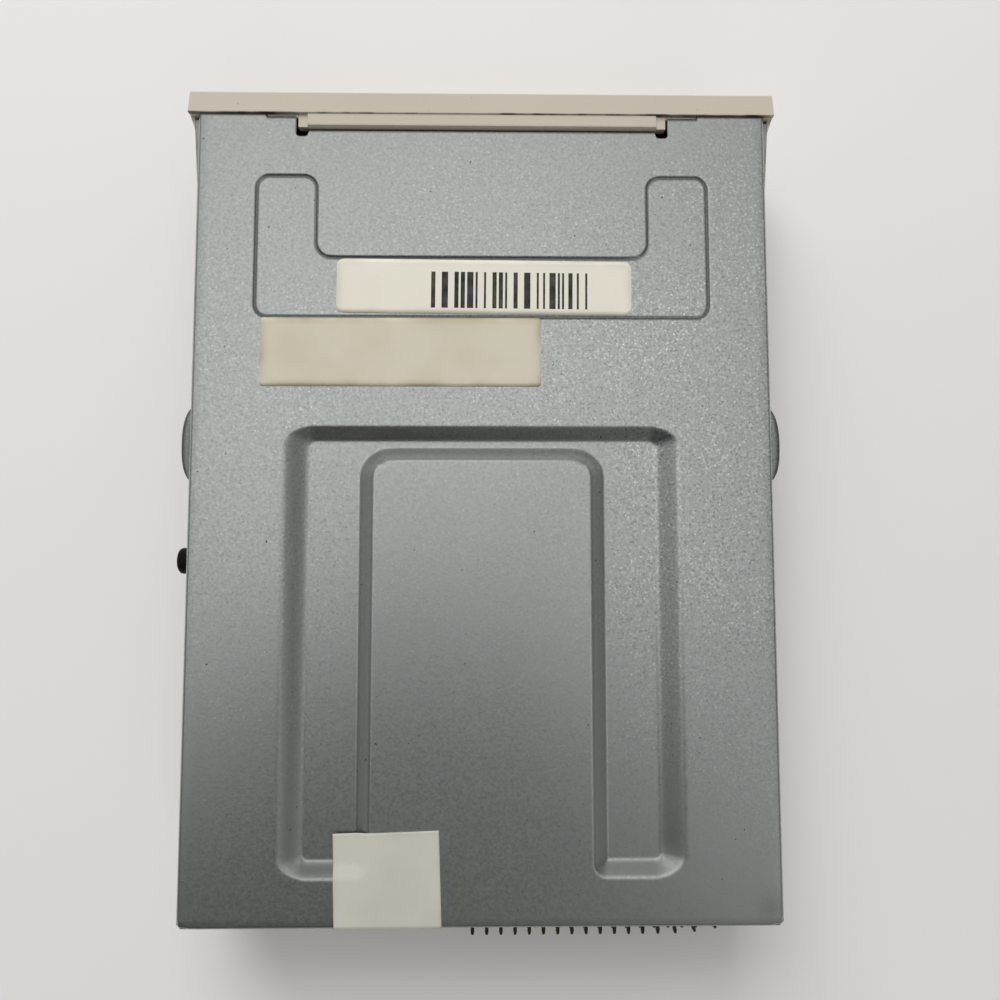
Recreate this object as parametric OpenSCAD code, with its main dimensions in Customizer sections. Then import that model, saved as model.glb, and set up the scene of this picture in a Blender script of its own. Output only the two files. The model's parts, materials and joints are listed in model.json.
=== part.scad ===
// 3.5-inch floppy disk drive, one inch high, with its loading, spindle and head mechanisms.
// Each sub-part is drawn in drive coordinates: y = 0 is the bezel's rear face, z = 0 the base plane,
// +Y runs to the connectors. in_frame() then moves the origin to the centre of the bottom holes.

/* [Envelope] */
// Overhang of the bezel past each chassis side
bezel_over = 0; // [0:0.1:2]
// Height of the bezel
bezel_h = 25.6; // [25.4:0.1:28]
// Thickness of the bezel's front plate
bezel_t = 3.7; // [3.4:0.05:5]
// How far each side of the bezel leans in towards the front
bezel_draft = 0.35; // [0:0.05:1.5]
// Width across the chassis side walls
chassis_w = 101.6; // [101:0.1:104]
// Step from the chassis side in to the cover's flange
cover_inset = 1.8; // [1.7:0.1:2.3]
// Distance from the bezel's rear face to the cover's rear face
cover_rear = 136.5; // [134:0.1:150]
// Height of the cover's top face
cover_top = 25.4; // [25:0.1:27]

/* [Sheet metal] */
// Thickness of the cover
cover_t = 0.8; // [0.5:0.1:1]
// Thickness of the chassis
frame_t = 0.8; // [0.6:0.1:1]
// Thickness of the eject slide
slide_t = 0.7; // [0.5:0.1:0.8]
// Thickness of the disk holder
holder_t = 0.6; // [0.4:0.1:0.7]
// Thickness of the stepper bracket
bracket_t = 0.8; // [0.6:0.1:1]
// Outer radius of the cover's bends
bend_r = 0.9; // [0.9:0.1:2]

/* [Clearances] */
// Gap between sheets that slide past each other
run_gap = 0.3; // [0.2:0.05:0.4]
// Radial play of pins in cams and of plungers in bores
pin_play = 0.1; // [0.05:0.01:0.1]
// Radial play of shafts and rods in their bearings
shaft_play = 0.03; // [0.01:0.01:0.06]
// Gap round parts that pass through a window
window_gap = 0.4; // [0.3:0.05:0.6]

/* [Mounting holes] */
// Bottom holes from the chassis sides
bottom_inset = 3.175; // [2.8:0.005:3.8]
// Spacing of the bottom holes along the drive
bottom_pitch_y = 70; // [60:0.5:75]
// First pair of bottom holes behind the bezel
bottom_front = 31; // [26:0.5:36]
// Spacing of the side holes along the drive
side_pitch = 70; // [60:0.5:75]
// First side hole behind the bezel
side_front = 21; // [18:0.5:30]
// Height of the side holes
side_hole_z = 5; // [4:0.1:5.4]
// Core diameter of the tapped mounting holes
tap_d = 2.5; // [2:0.1:3]
// Outer diameter of the drawn rim round each tapped hole
rim_d = 4.4; // [4:0.1:5]
// Height of the drawn rim
rim_h = 1.4; // [0.8:0.1:1.6]
// Length of each bottom lip
lip_l = 17; // [12:0.5:22]
// Width of each bottom lip
lip_w = 7; // [6:0.1:8]

/* [Chassis] */
// Height of the deck's upper face
deck_top = 9; // [8.8:0.1:9.4]
// Front edge of the deck
deck_front = 0.6; // [0.3:0.1:1]
// Rear edge of the deck
deck_rear = 129; // [128.5:0.1:129.4]
// Front end of the side walls
wall_front = 6; // [3:0.5:12]
// Rear end of the side walls
wall_rear = 134; // [132:0.5:136]
// Hole in the deck for the spindle hub
hub_hole_d = 30; // [27:0.5:34]
// Length of the front ears
ear_l = 15.5; // [10:0.5:18]
// Height of the front ears at their front
ear_top = 24; // [22:0.1:24.4]
// Fall of the ears' top edge towards the rear
ear_fall = 2.8; // [0:0.1:6]
// Gap between the front ears and the cover
ear_gap = 0.2; // [0.1:0.05:0.4]
// Length of the front guide uprights
upright_l = 14; // [10:0.5:18]
// Height of the uprights' top edge
upright_top = 24; // [22:0.1:24.3]
// Start of the rear cover supports
support_y = 116; // [114:0.5:118]
// Diameter of the snap lugs that hold the cover
lug_d = 4; // [3:0.1:5]
// Height of the snap lugs above the base
lug_z = 20; // [18:0.5:21]

/* [Cover] */
// Front edge of the cover behind the bezel
cover_front = 0.1; // [0.1:0.1:1]
// Set-back of the front edge beside the notch
front_setback = 0.55; // [0:0.05:0.8]
// Half width of the set-back stretch
setback_x = 37.3; // [35:0.1:42]
// Half width of the front notch
notch_x = 32.15; // [31:0.05:34]
// Rear edge of the front notch
notch_y = 3.2; // [2.8:0.1:4.5]
// Width of the relief slots at the notch's corners
relief_w = 2.2; // [1:0.1:2.6]
// Depth of the relief slots behind the notch
relief_l = 0.95; // [0.6:0.05:2]
// Corner radius of the relief slots
relief_r = 0.6; // [0.2:0.1:0.6]
// Cut at the cover's rear corners
corner_cut = 1; // [0.5:0.1:3]
// Lower edge of the rear flange
rear_flange_z = 13; // [11:0.5:16]
// Half width of the shallow panel
panel_x = 38.7; // [36:0.1:42]
// Half width between the panel's legs
panel_leg_x = 28.45; // [26:0.05:31]
// Front ends of the panel's legs
panel_front = 11.2; // [8:0.1:14]
// Front edge of the panel's cross bar
panel_bar_y = 25.6; // [22:0.1:27]
// Rear edge of the panel
panel_rear = 35.95; // [32:0.05:40]
// Corner radius of the panel
panel_r = 2.2; // [1:0.1:3]
// Depth of the panel's step
panel_depth = 0.3; // [0.1:0.05:0.5]
// Half width of the channel's floor
channel_x = 29.4; // [28:0.1:32]
// Half width of the plateau at floor level
plateau_x = 20.5; // [17:0.1:23]
// Front edge of the channel's floor
channel_front = 56.9; // [54:0.1:60]
// Front edge of the plateau at floor level
plateau_front = 58.25; // [58:0.05:64]
// Rear ends of the channel's legs at floor level
channel_rear = 126; // [110:0.1:128]
// Depth of the channel
channel_depth = 1.5; // [0.8:0.1:1.6]
// Run of the channel's sloping walls
channel_run = 2.4; // [1.2:0.1:3]
// Radius of the channel's outer corners at floor level
channel_r = 0.4; // [0.3:0.1:1]
// Radius of the plateau's front corners at floor level
plateau_r = 5.7; // [3:0.1:8]
// Middle of the finger ears
finger_y = 57.7; // [52:0.1:64]
// Radius of the finger ears' edge
finger_r = 11.9; // [7:0.1:14]
// Reach of the finger ears past the cover's side
finger_out = 2.1; // [1.5:0.1:3]
// Upper face of the finger ears
finger_top = 23.4; // [21:0.1:23.8]
// Height of the window that each finger ear leaves
finger_window = 3; // [2:0.1:4]

/* [Bezel] */
// Half width of the tongue over the cover's notch
tongue_x = 30.2; // [28:0.1:31]
// Reach of the tongue behind the bezel
tongue_l = 2; // [1.4:0.1:2.4]
// Thickness of the tongue
tongue_t = 1.5; // [1:0.1:2]
// Reach of the end blocks beside the tongue
tongue_end_l = 2.35; // [1.6:0.05:2.5]
// Step of the end blocks below the tongue
tongue_end_drop = 0.4; // [0:0.1:0.8]
// Rounding of the bezel's front edges
bezel_round = 0.3; // [0.2:0.1:1.5]
// Bezel left at each end of the disk slot
slot_side = 4.8; // [4.3:0.05:5.3]
// Width of the finger scoop at the slot
scoop_w = 24; // [16:0.5:34]
// Radius of the finger scoop
scoop_r = 12; // [9:0.5:20]
// Depth of the finger scoop
scoop_depth = 1; // [0.4:0.1:1.1]
// Thickness of the bezel's front skin
bezel_skin = 1.6; // [1.2:0.1:2]
// Length of the corner gussets
gusset_l = 2.3; // [1.5:0.1:4]
// Places of the bezel's bottom hooks from the middle
hook_x = 20; // [14:0.5:24]
// Width of each bottom hook
hook_w = 6; // [4:0.1:8]
// Reach of each bottom hook
hook_l = 6.5; // [5:0.1:8]

/* [Flap] */
// Thickness of the dust flap
flap_t = 1.2; // [0.8:0.1:1.4]
// Hinge of the flap in front of the bezel's rear face
flap_hinge_y = 1.6; // [1.5:0.1:1.8]
// Hinge of the flap above the slot
flap_hinge_up = 0.7; // [0.6:0.1:1]
// Diameter of the flap's pins
flap_pin_d = 1.2; // [1:0.1:1.2]
// Length of the flap's pins
flap_pin_l = 1.3; // [0.8:0.1:1.6]

/* [Eject slide] */
// Travel of the slide and its button
eject_travel = 6; // [5:0.1:6.5]
// Drop of the disk holder over that travel
holder_drop = 3; // [2.6:0.1:3.2]
// Middle of the button from the slot's end
button_inset = 12; // [11.6:0.1:16]
// Width of the button
button_w = 10; // [8:0.1:10.4]
// Lower edge of the button
button_z = 3.6; // [3:0.1:4.4]
// Height of the button
button_h = 6.8; // [6.6:0.1:7.4]
// How far the button stands proud at rest
button_proud = 0.4; // [0.2:0.1:1]
// Rear end of the button
button_rear = 4.5; // [3.5:0.1:5]
// Width of the slide's arm to the button
arm_w = 4; // [3:0.1:6]
// Front end of the slide's side walls
slide_front = 14; // [12:0.5:18]
// Rear face of the slide
slide_rear = 99.4; // [98.5:0.1:100.5]
// Height of the slide's side walls
slide_wall_h = 9.3; // [8.8:0.1:10]
// Width of the slide's floor strips
strip_w = 3.1; // [2:0.1:3.4]
// Front edge of the cross bar
crossbar_y = 24.6; // [24.4:0.1:24.8]
// Length of the cross bar along the drive
crossbar_l = 6; // [4:0.1:6.2]
// Middle of the black stud behind the bezel
stud_y = 77.2; // [75:0.1:78]
// Height of the black stud
stud_z = 21.6; // [21:0.1:21.8]
// Diameter of the stud's head
stud_d = 4.4; // [3.6:0.1:4.6]
// Reach of the stud past the cover's side
stud_out = 2.2; // [1:0.1:3]
// Diameter of the stud's shank
stud_shank_d = 2.4; // [1.6:0.1:3]
// Mean diameter of the eject springs
spring_d = 3.6; // [3:0.1:4.4]
// Wire of the springs
spring_wire = 0.5; // [0.3:0.05:0.6]
// Turns of each eject spring
spring_turns = 8; // [5:1:9]
// Eject springs in from the slide's walls
spring_inset = 4.7; // [4.2:0.1:6.2]
// Height of the eject springs
spring_z = 12.4; // [12:0.1:13]
// Front face of the chassis tabs behind the springs
spring_tab_y = 112; // [111:0.1:114]

/* [Disk holder] */
// Clear height inside the holder
holder_clear = 4.4; // [4.2:0.1:4.6]
// Gap between the lowered holder and the slide
holder_low_gap = 0.4; // [0.3:0.05:0.6]
// Front edge of the holder
holder_front = 5; // [4.6:0.1:8]
// Rear edge of the holder
holder_rear = 90; // [88.5:0.1:90.4]
// Width of the flanges under the disk
holder_lip = 2.7; // [1.5:0.1:2.7]
// Front cam pins behind the bezel
pin_front = 26; // [24:0.1:28]
// Rear cam pins behind the bezel
pin_rear = 86; // [85:0.1:86.5]
// Diameter of the cam pins
pin_d = 2; // [1.6:0.1:2.2]
// Height of the cam pins above the holder's lower face
pin_up = 3; // [2.6:0.1:3.4]
// Half width of the roof's cut-out for the head arm
roof_cut_x = 8; // [6:0.1:9]
// Front of the roof's cut-out
roof_cut_y = 61; // [58:0.5:64]
// Rear edge of the roof beside the lever
roof_ext = 97; // [96.5:0.1:97.4]
// Outer edge of the roof's extension
roof_ext_x = 37; // [36:0.1:37.5]
// Round holes in the roof: place and diameter
roof_hole_x = 24; // [22:0.1:25]
roof_hole_y = 34; // [33:0.1:36]
roof_hole_d = 18; // [12:0.5:18]

/* [Shutter lever] */
// Lever pivot from the middle
lever_x = 34; // [32:0.1:34]
// Lever pivot behind the bezel
lever_y = 80; // [79:0.1:80.5]
// Length of the lever from pivot to pin
lever_l = 20; // [18:0.1:20.5]
// Rest angle of the lever
lever_rest = 35; // [30:1:38]
// Swing of the lever
lever_swing = 73; // [60:1:74]
// Diameter of the lever's pin
lever_pin_d = 2.4; // [2:0.1:2.8]
// Thickness of the lever
lever_t = 0.8; // [0.6:0.1:1]
// Width of the lever at its pivot
lever_hub_d = 7; // [6:0.1:9]
// Diameter of the pivot rivet
rivet_d = 3; // [2:0.1:3.4]

/* [Spindle motor] */
// Spindle behind the bezel
spindle_y = 44; // [43.5:0.1:44.5]
// Outer diameter of the rotor
rotor_d = 54; // [48:0.5:56]
// Upper face of the rotor
rotor_top = 7.6; // [7.2:0.1:7.7]
// Lower edge of the rotor's skirt
rotor_low = 3; // [2.8:0.1:3.2]
// Sheet thickness of the rotor
rotor_t = 0.8; // [0.6:0.1:1]
// Radial thickness of the ring magnet
magnet_t = 2; // [1.4:0.1:2.4]
// Diameter of the hub plate
hub_d = 25; // [22:0.5:26]
// Upper face of the hub plate
hub_top = 10.4; // [10:0.1:10.6]
// Thickness of the hub plate
hub_t = 1.4; // [1:0.1:1.6]
// Diameter of the spindle shaft
shaft_d = 4; // [3:0.1:5]
// Top of the spindle shaft
shaft_top = 12.8; // [12:0.1:13]
// Radius of the drive pin's place
drive_pin_r = 8; // [7:0.1:10]
// Diameter of the drive pin
drive_pin_d = 2; // [1.6:0.1:2.4]
// Outer diameter of the bearing bush
bush_d = 8; // [7:0.1:9]
// Diameter of the bush's flange
bush_flange_d = 21; // [16:0.5:22]
// Lower face of the motor board
motor_board_z = 1.2; // [1.1:0.1:1.3]
// Thickness of the motor board
motor_board_t = 1.2; // [0.8:0.1:1.2]
// Half width of the motor board
motor_board_x = 33; // [32:0.5:36]
// Front edge of the motor board
motor_board_front = 14; // [12:0.5:15]
// Rear edge of the motor board
motor_board_rear = 75; // [73:0.5:75]
// Motor screws from the middle
motor_post_x = 29; // [28:0.5:30]
// Inset of the motor screws from the board's ends
motor_post_inset = 4; // [3.5:0.1:5]
// Number of stator poles
pole_count = 12; // [9:3:12]
// Thickness of the stator core
core_t = 1.6; // [1:0.1:1.8]
// Width of a stator tooth
tooth_w = 3; // [2:0.1:3.6]
// Air gap between stator and magnet
air_gap = 0.6; // [0.4:0.05:0.8]

/* [Head positioner] */
// Head travel between the outer and the inner track
head_travel = 14.8; // [14:0.1:15]
// Heads at the outer track, behind the spindle
track_zero_r = 39.5; // [39:0.1:40]
// Diameter of the guide rods
rod_d = 2.4; // [2:0.1:2.4]
// Guide rods from the middle
rod_x = 12; // [11:0.1:12.5]
// Height of the guide rods
rod_z = 6.9; // [6.9:0.1:7]
// Front end of the guide rods
rod_front = 75.6; // [75.4:0.1:75.8]
// Rear end of the guide rods
rod_rear = 125; // [122:0.5:127]
// Front face of the carriage body
carriage_front = 94; // [93.6:0.1:94.4]
// Rear face of the carriage body
carriage_rear = 113; // [112.6:0.1:113.4]
// Half width of the carriage body
carriage_x = 15; // [14.6:0.1:15.4]
// Underside of the carriage's slab
carriage_z = 8.6; // [8.4:0.1:8.8]
// Upper face of the carriage's slab
carriage_top = 10.4; // [10.2:0.1:10.5]
// Half width of the carriage's nose
nose_x = 6.5; // [5:0.1:6.8]
// Length of the nose past the heads
nose_tip = 4.5; // [4:0.1:5]
// Height of the arm's hinge
hinge_z = 17; // [16.5:0.1:17.2]
// Hinge of the arm in front of the carriage's rear face
hinge_back = 3; // [2.6:0.1:3.2]
// Diameter of the arm's pin
arm_pin_d = 1.4; // [1:0.1:1.6]
// Half width of the head arm
arm_x = 5; // [4:0.1:5.5]
// Thickness of the head arm
arm_t = 1.6; // [1.2:0.1:1.8]
// Underside of the head arm at rest
arm_z = 18.2; // [18.1:0.1:18.4]
// Lead screw from the middle
screw_x = 27; // [26:0.1:27.5]
// Height of the lead screw
screw_z = 13.6; // [13.4:0.1:13.8]
// Outer diameter of the lead screw
screw_d = 3; // [2.6:0.1:3.2]
// Diameter of the lead screw's journals
journal_d = 2; // [1.4:0.1:2.2]
// Front face of the stepper bracket
bracket_front = 92.6; // [92.4:0.1:92.8]
// Rear face of the stepper bracket
bracket_rear = 115.4; // [115:0.1:116]
// Half width of the stepper bracket
bracket_x = 6.5; // [5.5:0.1:6.8]
// Diameter of the stepper can
can_d = 15; // [13:0.1:15.4]
// Length of the stepper can
can_l = 14; // [12:0.1:14.2]

/* [Boards and connectors] */
// Lower face of the main board
board_z = 3.8; // [3.7:0.1:3.9]
// Thickness of the main board
board_t = 1.6; // [1.2:0.1:1.6]
// Main board in from the chassis walls
board_inset = 4; // [3.5:0.1:5]
// Width of the main board's front arms
board_strip = 6.4; // [6:0.1:6.5]
// Front end of the main board
board_front = 2.5; // [2:0.1:3]
// Front edge of the main board's rear half
board_mid = 84; // [80:0.5:86]
// Rear edge of the main board
board_rear = 135; // [134:0.1:135.2]
// Board posts in from the board's sides
post_inset = 3.2; // [3:0.1:3.4]
// Front board posts behind the bezel
board_post_front = 62; // [50:0.5:70]
// Rear board posts behind the bezel
board_post_rear = 126; // [122:0.5:127]
// Pitch of the header's pins
pin_pitch = 2.54; // [2.5:0.01:2.54]
// Columns of the signal header
pin_columns = 17; // [10:1:17]
// Middle of the signal header from the drive's middle
header_x = -18.6; // [-20:0.1:-18]
// Front face of the header's body
header_y = 134; // [133.4:0.1:134.4]
// Length of the header's body along the drive
header_l = 4; // [2.5:0.1:4]
// Tips of the header's pins behind the bezel
pin_tip_y = 143.9; // [141:0.1:145]
// Side of the square pins
pin_side = 0.64; // [0.5:0.01:0.7]
// Growth of the bend of the last upper pins, in degrees
pin_bend = 2.1; // [0:0.1:2.5]
// Middle of the power connector from the drive's middle
power_x = 31; // [26:0.5:34]
// Pitch of the power pins
power_pitch = 2.5; // [2.5:0.01:2.54]
// Length and height of the power connector
power_l = 8; // [7.4:0.1:8.4]
power_h = 6.2; // [5.8:0.1:6.6]
// Side of the largest chip, and its height
chip_side = 14; // [10:0.5:15]
chip_h = 2; // [1.4:0.1:2.2]
// Width of the chip capacitors
cap_w = 3.2; // [2:0.1:3.4]
// Indicator lamp in from the board's side
led_inset = 3.4; // [3.2:0.1:3.6]
// Diameter of the indicator lamp
led_d = 3; // [2:0.1:3]
// Sensing switches in from the board's sides
switch_inset = 4.7; // [4.6:0.1:4.8]
// First sensing switches behind the bezel
switch_y = 7.2; // [7:0.1:8]
// Step between the two switches on one side
switch_step = 8; // [7:0.1:8]
// Width of a switch body across the drive
switch_w = 3; // [2.6:0.1:3.2]
// Length of a switch body along the drive
switch_l = 5.6; // [4:0.1:6]
// Diameter of a switch plunger
plunger_d = 2; // [1.4:0.1:2]
// Travel of a switch plunger
plunger_travel = 1.2; // [0.8:0.1:1.2]

/* [Hidden] */
$fn = 48;
cut = 1;
least_bend = 0.1;
datum_y = bottom_front + bottom_pitch_y / 2;
deck_z = deck_top - frame_t;

// Sheets from the cover's side inwards
flange_x = chassis_w / 2 - cover_inset;
bezel_w = chassis_w + 2 * bezel_over;
slot_w = bezel_w - 2 * slot_side;
button_x = slot_w / 2 - button_inset;
bottom_pitch_x = chassis_w - 2 * bottom_inset;
board_x = chassis_w / 2 - frame_t - board_inset;
board_arm_x = board_x - board_strip;
board_post_x = board_x - post_inset;
led_x = led_inset - board_x;
switch_x = board_x - switch_inset;
upright_out = flange_x - cover_t;
upright_in = upright_out - frame_t;
slide_out = upright_in - run_gap;
slide_in = slide_out - slide_t;
spring_x = slide_in - spring_inset;
holder_out = slide_in - run_gap;
holder_in = holder_out - holder_t;
ear_in = flange_x + ear_gap;
finger_half = sqrt(pow(finger_r, 2) - pow(finger_r - finger_out, 2));

// Heights of the slide and the holder
slide_z = deck_top + run_gap;
slide_floor = slide_z + slide_t;
slide_top = slide_z + slide_wall_h;
holder_z = slide_floor + holder_low_gap + holder_drop;
holder_floor = holder_z + holder_t;
roof_z = holder_floor + holder_clear;
roof_top = roof_z + holder_t;
pin_z = holder_z + pin_up;
slot_z0 = holder_floor - run_gap;
slot_z1 = roof_z - run_gap;
slot_mid = (slot_z0 + slot_z1) / 2;
flap_axis_z = slot_z1 + flap_hinge_up;
flap_coil_wire = 0.3;
flap_coil_r = flap_pin_d / 2 + 0.15 + flap_coil_wire;
flap_coil_room = 4.6;

// Lever on the holder's roof
lever_z = roof_top + run_gap;
lever_top = lever_z + lever_t;
rivet_head_t = 0.6;
lever_coil_h = 2;
rivet_head_z = lever_top + lever_coil_h + run_gap;

// Heights of the spindle motor
motor_board_top = motor_board_z + motor_board_t;
core_z = rotor_low + 0.6;
magnet_r = rotor_d / 2 - rotor_t - magnet_t;
core_r = magnet_r - air_gap;
bush_seat_z = core_z;

// Head positioner
head_y = spindle_y + track_zero_r;
hinge_y = carriage_rear - hinge_back;
tower_front = hinge_y - 2.5;
screw_front = bracket_front + bracket_t + run_gap;
screw_back = bracket_rear - bracket_t - run_gap;
nose_slot_x = nose_x + 1.5;
nose_slot_y = head_y - nose_tip - head_travel - 0.7;
window_x = carriage_x + 2.5;
window_front = carriage_front - head_travel - 0.8;
window_rear = carriage_rear + 1;

// Boards
board_top = board_z + board_t;
row_low = board_top + pin_pitch / 2;
led_z = board_top + led_d / 2 + 0.3;
led_rear = 3;
switch_top = deck_top + 1.2;
plunger_tip = switch_top + 2;
switch_spots = [[-switch_x, switch_y], [switch_x, switch_y], [-switch_x, switch_y + switch_step]];
motor_rows = [motor_board_front + motor_post_inset, motor_board_rear - motor_post_inset];
motor_posts = [for (sx = [-1, 1], py = motor_rows) [sx * motor_post_x, py]];
board_posts = [for (sx = [-1, 1], py = [board_post_front, board_post_rear]) [sx * board_post_x, py]];
clamp_l = 2;
clamp_places = [for (sx = [-1, 1], py = [rod_front + 0.3, rod_rear - clamp_l - 0.3]) [sx * rod_x, py]];
clamp_screw_out = 3.2;
screw_shank_d = 2.2;
bracket_screws_y = [bracket_front + 7, bracket_rear - 7];
bracket_screw_x = screw_x + 4;

// Moves a sub-part from the bezel's datum to the mounting datum
module in_frame() {
    translate([0, -datum_y, 0]) children();
}

// The child and its mirror image on the other side of the drive
module both_sides() {
    children();
    mirror([1, 0, 0]) children();
}

// Box between two corners
module block(a, b) {
    translate(a) cube(b - a);
}

// Cylinders along the three axes
module along_x(x0, x1, y, z, d) {
    translate([x0, y, z]) rotate([0, 90, 0]) cylinder(h = x1 - x0, d = d);
}

module along_y(y0, y1, x, z, d) {
    translate([x, y0, z]) rotate([-90, 0, 0]) cylinder(h = y1 - y0, d = d);
}

module along_z(z0, z1, p, d) {
    translate([p.x, p.y, z0]) cylinder(h = z1 - z0, d = d);
}

// Sheet in the YZ plane: the outline's x runs along Y and its y along Z
module sheet_yz(x0, t) {
    translate([x0, 0, 0]) rotate([90, 0, 90]) linear_extrude(t) children();
}

// Profile in the XZ plane, carried along Y from y0 to y1
module profile_y(y0, y1) {
    translate([0, y1, 0]) rotate([90, 0, 0]) linear_extrude(y1 - y0) children();
}

// Rectangle between two corners with round corners
module round_rect(a, b, r) {
    translate([a.x + r, a.y]) square([b.x - a.x - 2 * r, b.y - a.y]);
    translate([a.x, a.y + r]) square([b.x - a.x, b.y - a.y - 2 * r]);
    for (px = [a.x + r, b.x - r], py = [a.y + r, b.y - r]) translate([px, py]) circle(r);
}

// Slot of width d between two points: its straight sides lie a hair inside the round ends
hair = 0.02;
module slot_2d(a, b, d) {
    for (p = [a, b]) translate(p) circle(d = d);
    translate(a) rotate(atan2(b.y - a.y, b.x - a.x)) translate([0, hair - d / 2])
        square([norm(b - a), d - 2 * hair]);
}

// Fills the concave corner at p, which opens along sx and sy, with a fillet
module fillet_2d(p, sx, sy, r) {
    difference() {
        translate([min(p.x, p.x + sx * r), min(p.y, p.y + sy * r)]) square(r);
        translate([p.x + sx * r, p.y + sy * r]) circle(r);
    }
}

// Ring of the given radii between two heights
module tube_z(z0, z1, p, d, bore) {
    difference() {
        along_z(z0, z1, p, d);
        along_z(z0 - cut, z1 + cut, p, bore);
    }
}

// Machine screw that points up: pan head below z, shank above it
module screw_up(p, z, head_d, head_h, shank, l) {
    along_z(z - head_h, z, p, head_d);
    along_z(z, z + l, p, shank);
}

// Helical wire: its centre line and the rings of points round it
coil_sides = 6;
coil_rings = 8;
function coil_centre(r, pitch, t) = [r * cos(360 * t), r * sin(360 * t), pitch * t];
function coil_ring(r, pitch, wire, t) = [for (j = [0 : coil_sides - 1])
    let (a = 360 * j / coil_sides, q = r + wire / 2 * cos(a))
    [q * cos(360 * t), q * sin(360 * t), pitch * t + wire / 2 * sin(a)]];
function coil_gap(r, pitch, wire, turns) = min([for (i = [0 : (turns - 1) * coil_rings])
    let (t = i / coil_rings)
    norm(coil_centre(r, pitch, t + 1) - coil_centre(r, pitch, t)) - wire]);

// Helical spring along +Z with its lowest point at z = 0
module coil(d, wire, h, turns) {
    pitch = (h - wire) / turns;
    steps = turns * coil_rings;
    points = [for (i = [0 : steps]) each coil_ring(d / 2, pitch, wire, i / coil_rings)];
    side = [for (i = [0 : steps - 1], j = [0 : coil_sides - 1])
        let (a = i * coil_sides + j, b = i * coil_sides + (j + 1) % coil_sides)
        each [[a, a + coil_sides, b], [b, a + coil_sides, b + coil_sides]]];
    last = steps * coil_sides;
    caps = [for (j = [1 : coil_sides - 2]) each [[0, j, j + 1], [last, last + j + 1, last + j]]];
    echo(least_gap = coil_gap(d / 2, pitch, wire, turns));
    translate([0, 0, wire / 2]) polyhedron(points, concat(side, caps));
}

// Chassis: a deck with turned-down side walls, bottom lips, front ears and upright guides
module deck_plan() {
    difference() {
        translate([-chassis_w / 2, deck_front]) square([chassis_w, deck_rear - deck_front]);
        for (sx = [0, 1]) mirror([sx, 0]) translate([ear_in + frame_t, deck_front - cut])
            square([chassis_w, gusset_l + run_gap - deck_front + cut]);
        translate([led_x - led_d / 2 - 2 * run_gap, deck_front - cut])
            square([led_d + 4 * run_gap, led_rear + run_gap - deck_front + cut]);
        translate([0, spindle_y]) circle(d = hub_hole_d);
        round_rect([-nose_slot_x, nose_slot_y], [nose_slot_x, window_front + cut], 0.8);
        round_rect([-window_x, window_front], [window_x, window_rear], 0.8);
        translate([button_x - button_w / 2 - window_gap, deck_front - cut])
            square([button_w + 2 * window_gap, button_rear + window_gap - deck_front + cut]);
        translate([screw_x - can_d / 2 - window_gap, bracket_rear - bracket_t])
            square([can_d + 2 * window_gap, deck_rear]);
        for (p = switch_spots)
            translate([p.x - switch_w / 2 - run_gap, p.y - switch_l / 2 - run_gap])
                square([switch_w + 2 * run_gap, switch_l + 2 * run_gap]);
        for (sx = [-1, 1])
            translate([sx * hook_x - hook_w / 2 - run_gap, hook_l - 2 - run_gap])
                square([hook_w + 2 * run_gap, 2 + 2 * run_gap]);
        for (p = concat(motor_posts, board_posts)) translate(p) circle(d = screw_shank_d);
        for (p = clamp_places)
            translate([p.x + sign(p.x) * clamp_screw_out, p.y + clamp_l / 2]) circle(d = screw_shank_d);
        for (y = bracket_screws_y) translate([bracket_screw_x, y]) circle(d = screw_shank_d);
    }
}

module guide_upright(pin_y, front) {
    sheet_yz(upright_in, frame_t) difference() {
        translate([front, deck_top]) square([upright_l, upright_top - deck_top]);
        slot_2d([pin_y, pin_z], [pin_y, pin_z - holder_drop], pin_d + 2 * pin_play);
    }
    along_x(upright_out - frame_t, upright_out + cover_t / 2, pin_y, lug_z, lug_d);
}

module side_wall() {
    wall_x = chassis_w / 2 - frame_t;
    difference() {
        union() {
            block([wall_x, wall_front, 0], [chassis_w / 2, wall_rear, deck_z]);
            for (y = [side_front, side_front + side_pitch])
                along_x(wall_x - rim_h, wall_x, y, side_hole_z, rim_d);
            for (y = [bottom_front, bottom_front + bottom_pitch_y]) {
                block([chassis_w / 2 - lip_w, y - lip_l / 2, 0], [chassis_w / 2, y + lip_l / 2, frame_t]);
                along_z(0, frame_t + rim_h, [bottom_pitch_x / 2, y], rim_d);
            }
        }
        for (y = [side_front, side_front + side_pitch])
            along_x(wall_x - rim_h - cut, chassis_w, y, side_hole_z, tap_d);
        for (y = [bottom_front, bottom_front + bottom_pitch_y])
            along_z(-cut, frame_t + rim_h + cut, [bottom_pitch_x / 2, y], tap_d);
    }
}

module side_guides() {
    sheet_yz(ear_in, frame_t) polygon([
        [deck_front, deck_top], [deck_front + ear_l, deck_top], [deck_front + ear_l, ear_top - ear_fall],
        [gusset_l, ear_top], [deck_front, ear_top]]);
    guide_upright(pin_front, pin_front - upright_l / 2);
    guide_upright(pin_rear, stud_y + stud_d / 2 + window_gap);
    block([upright_in, support_y, deck_top], [upright_out, deck_rear, upright_top]);
    along_x(upright_in, upright_out + cover_t / 2, (support_y + deck_rear) / 2, lug_z, lug_d);
    block([spring_x - 3, spring_tab_y, deck_top], [spring_x + 3, spring_tab_y + frame_t, spring_z + 3]);
    along_y(spring_tab_y - 5, spring_tab_y, spring_x, spring_z, spring_d - spring_wire - 0.6);
}

module chassis_deck() {
    color("#8d9290") in_frame() translate([0, 0, deck_z]) linear_extrude(frame_t) deck_plan();
}

module chassis_walls() {
    color("#8d9290") in_frame() both_sides() side_wall();
}

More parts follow.
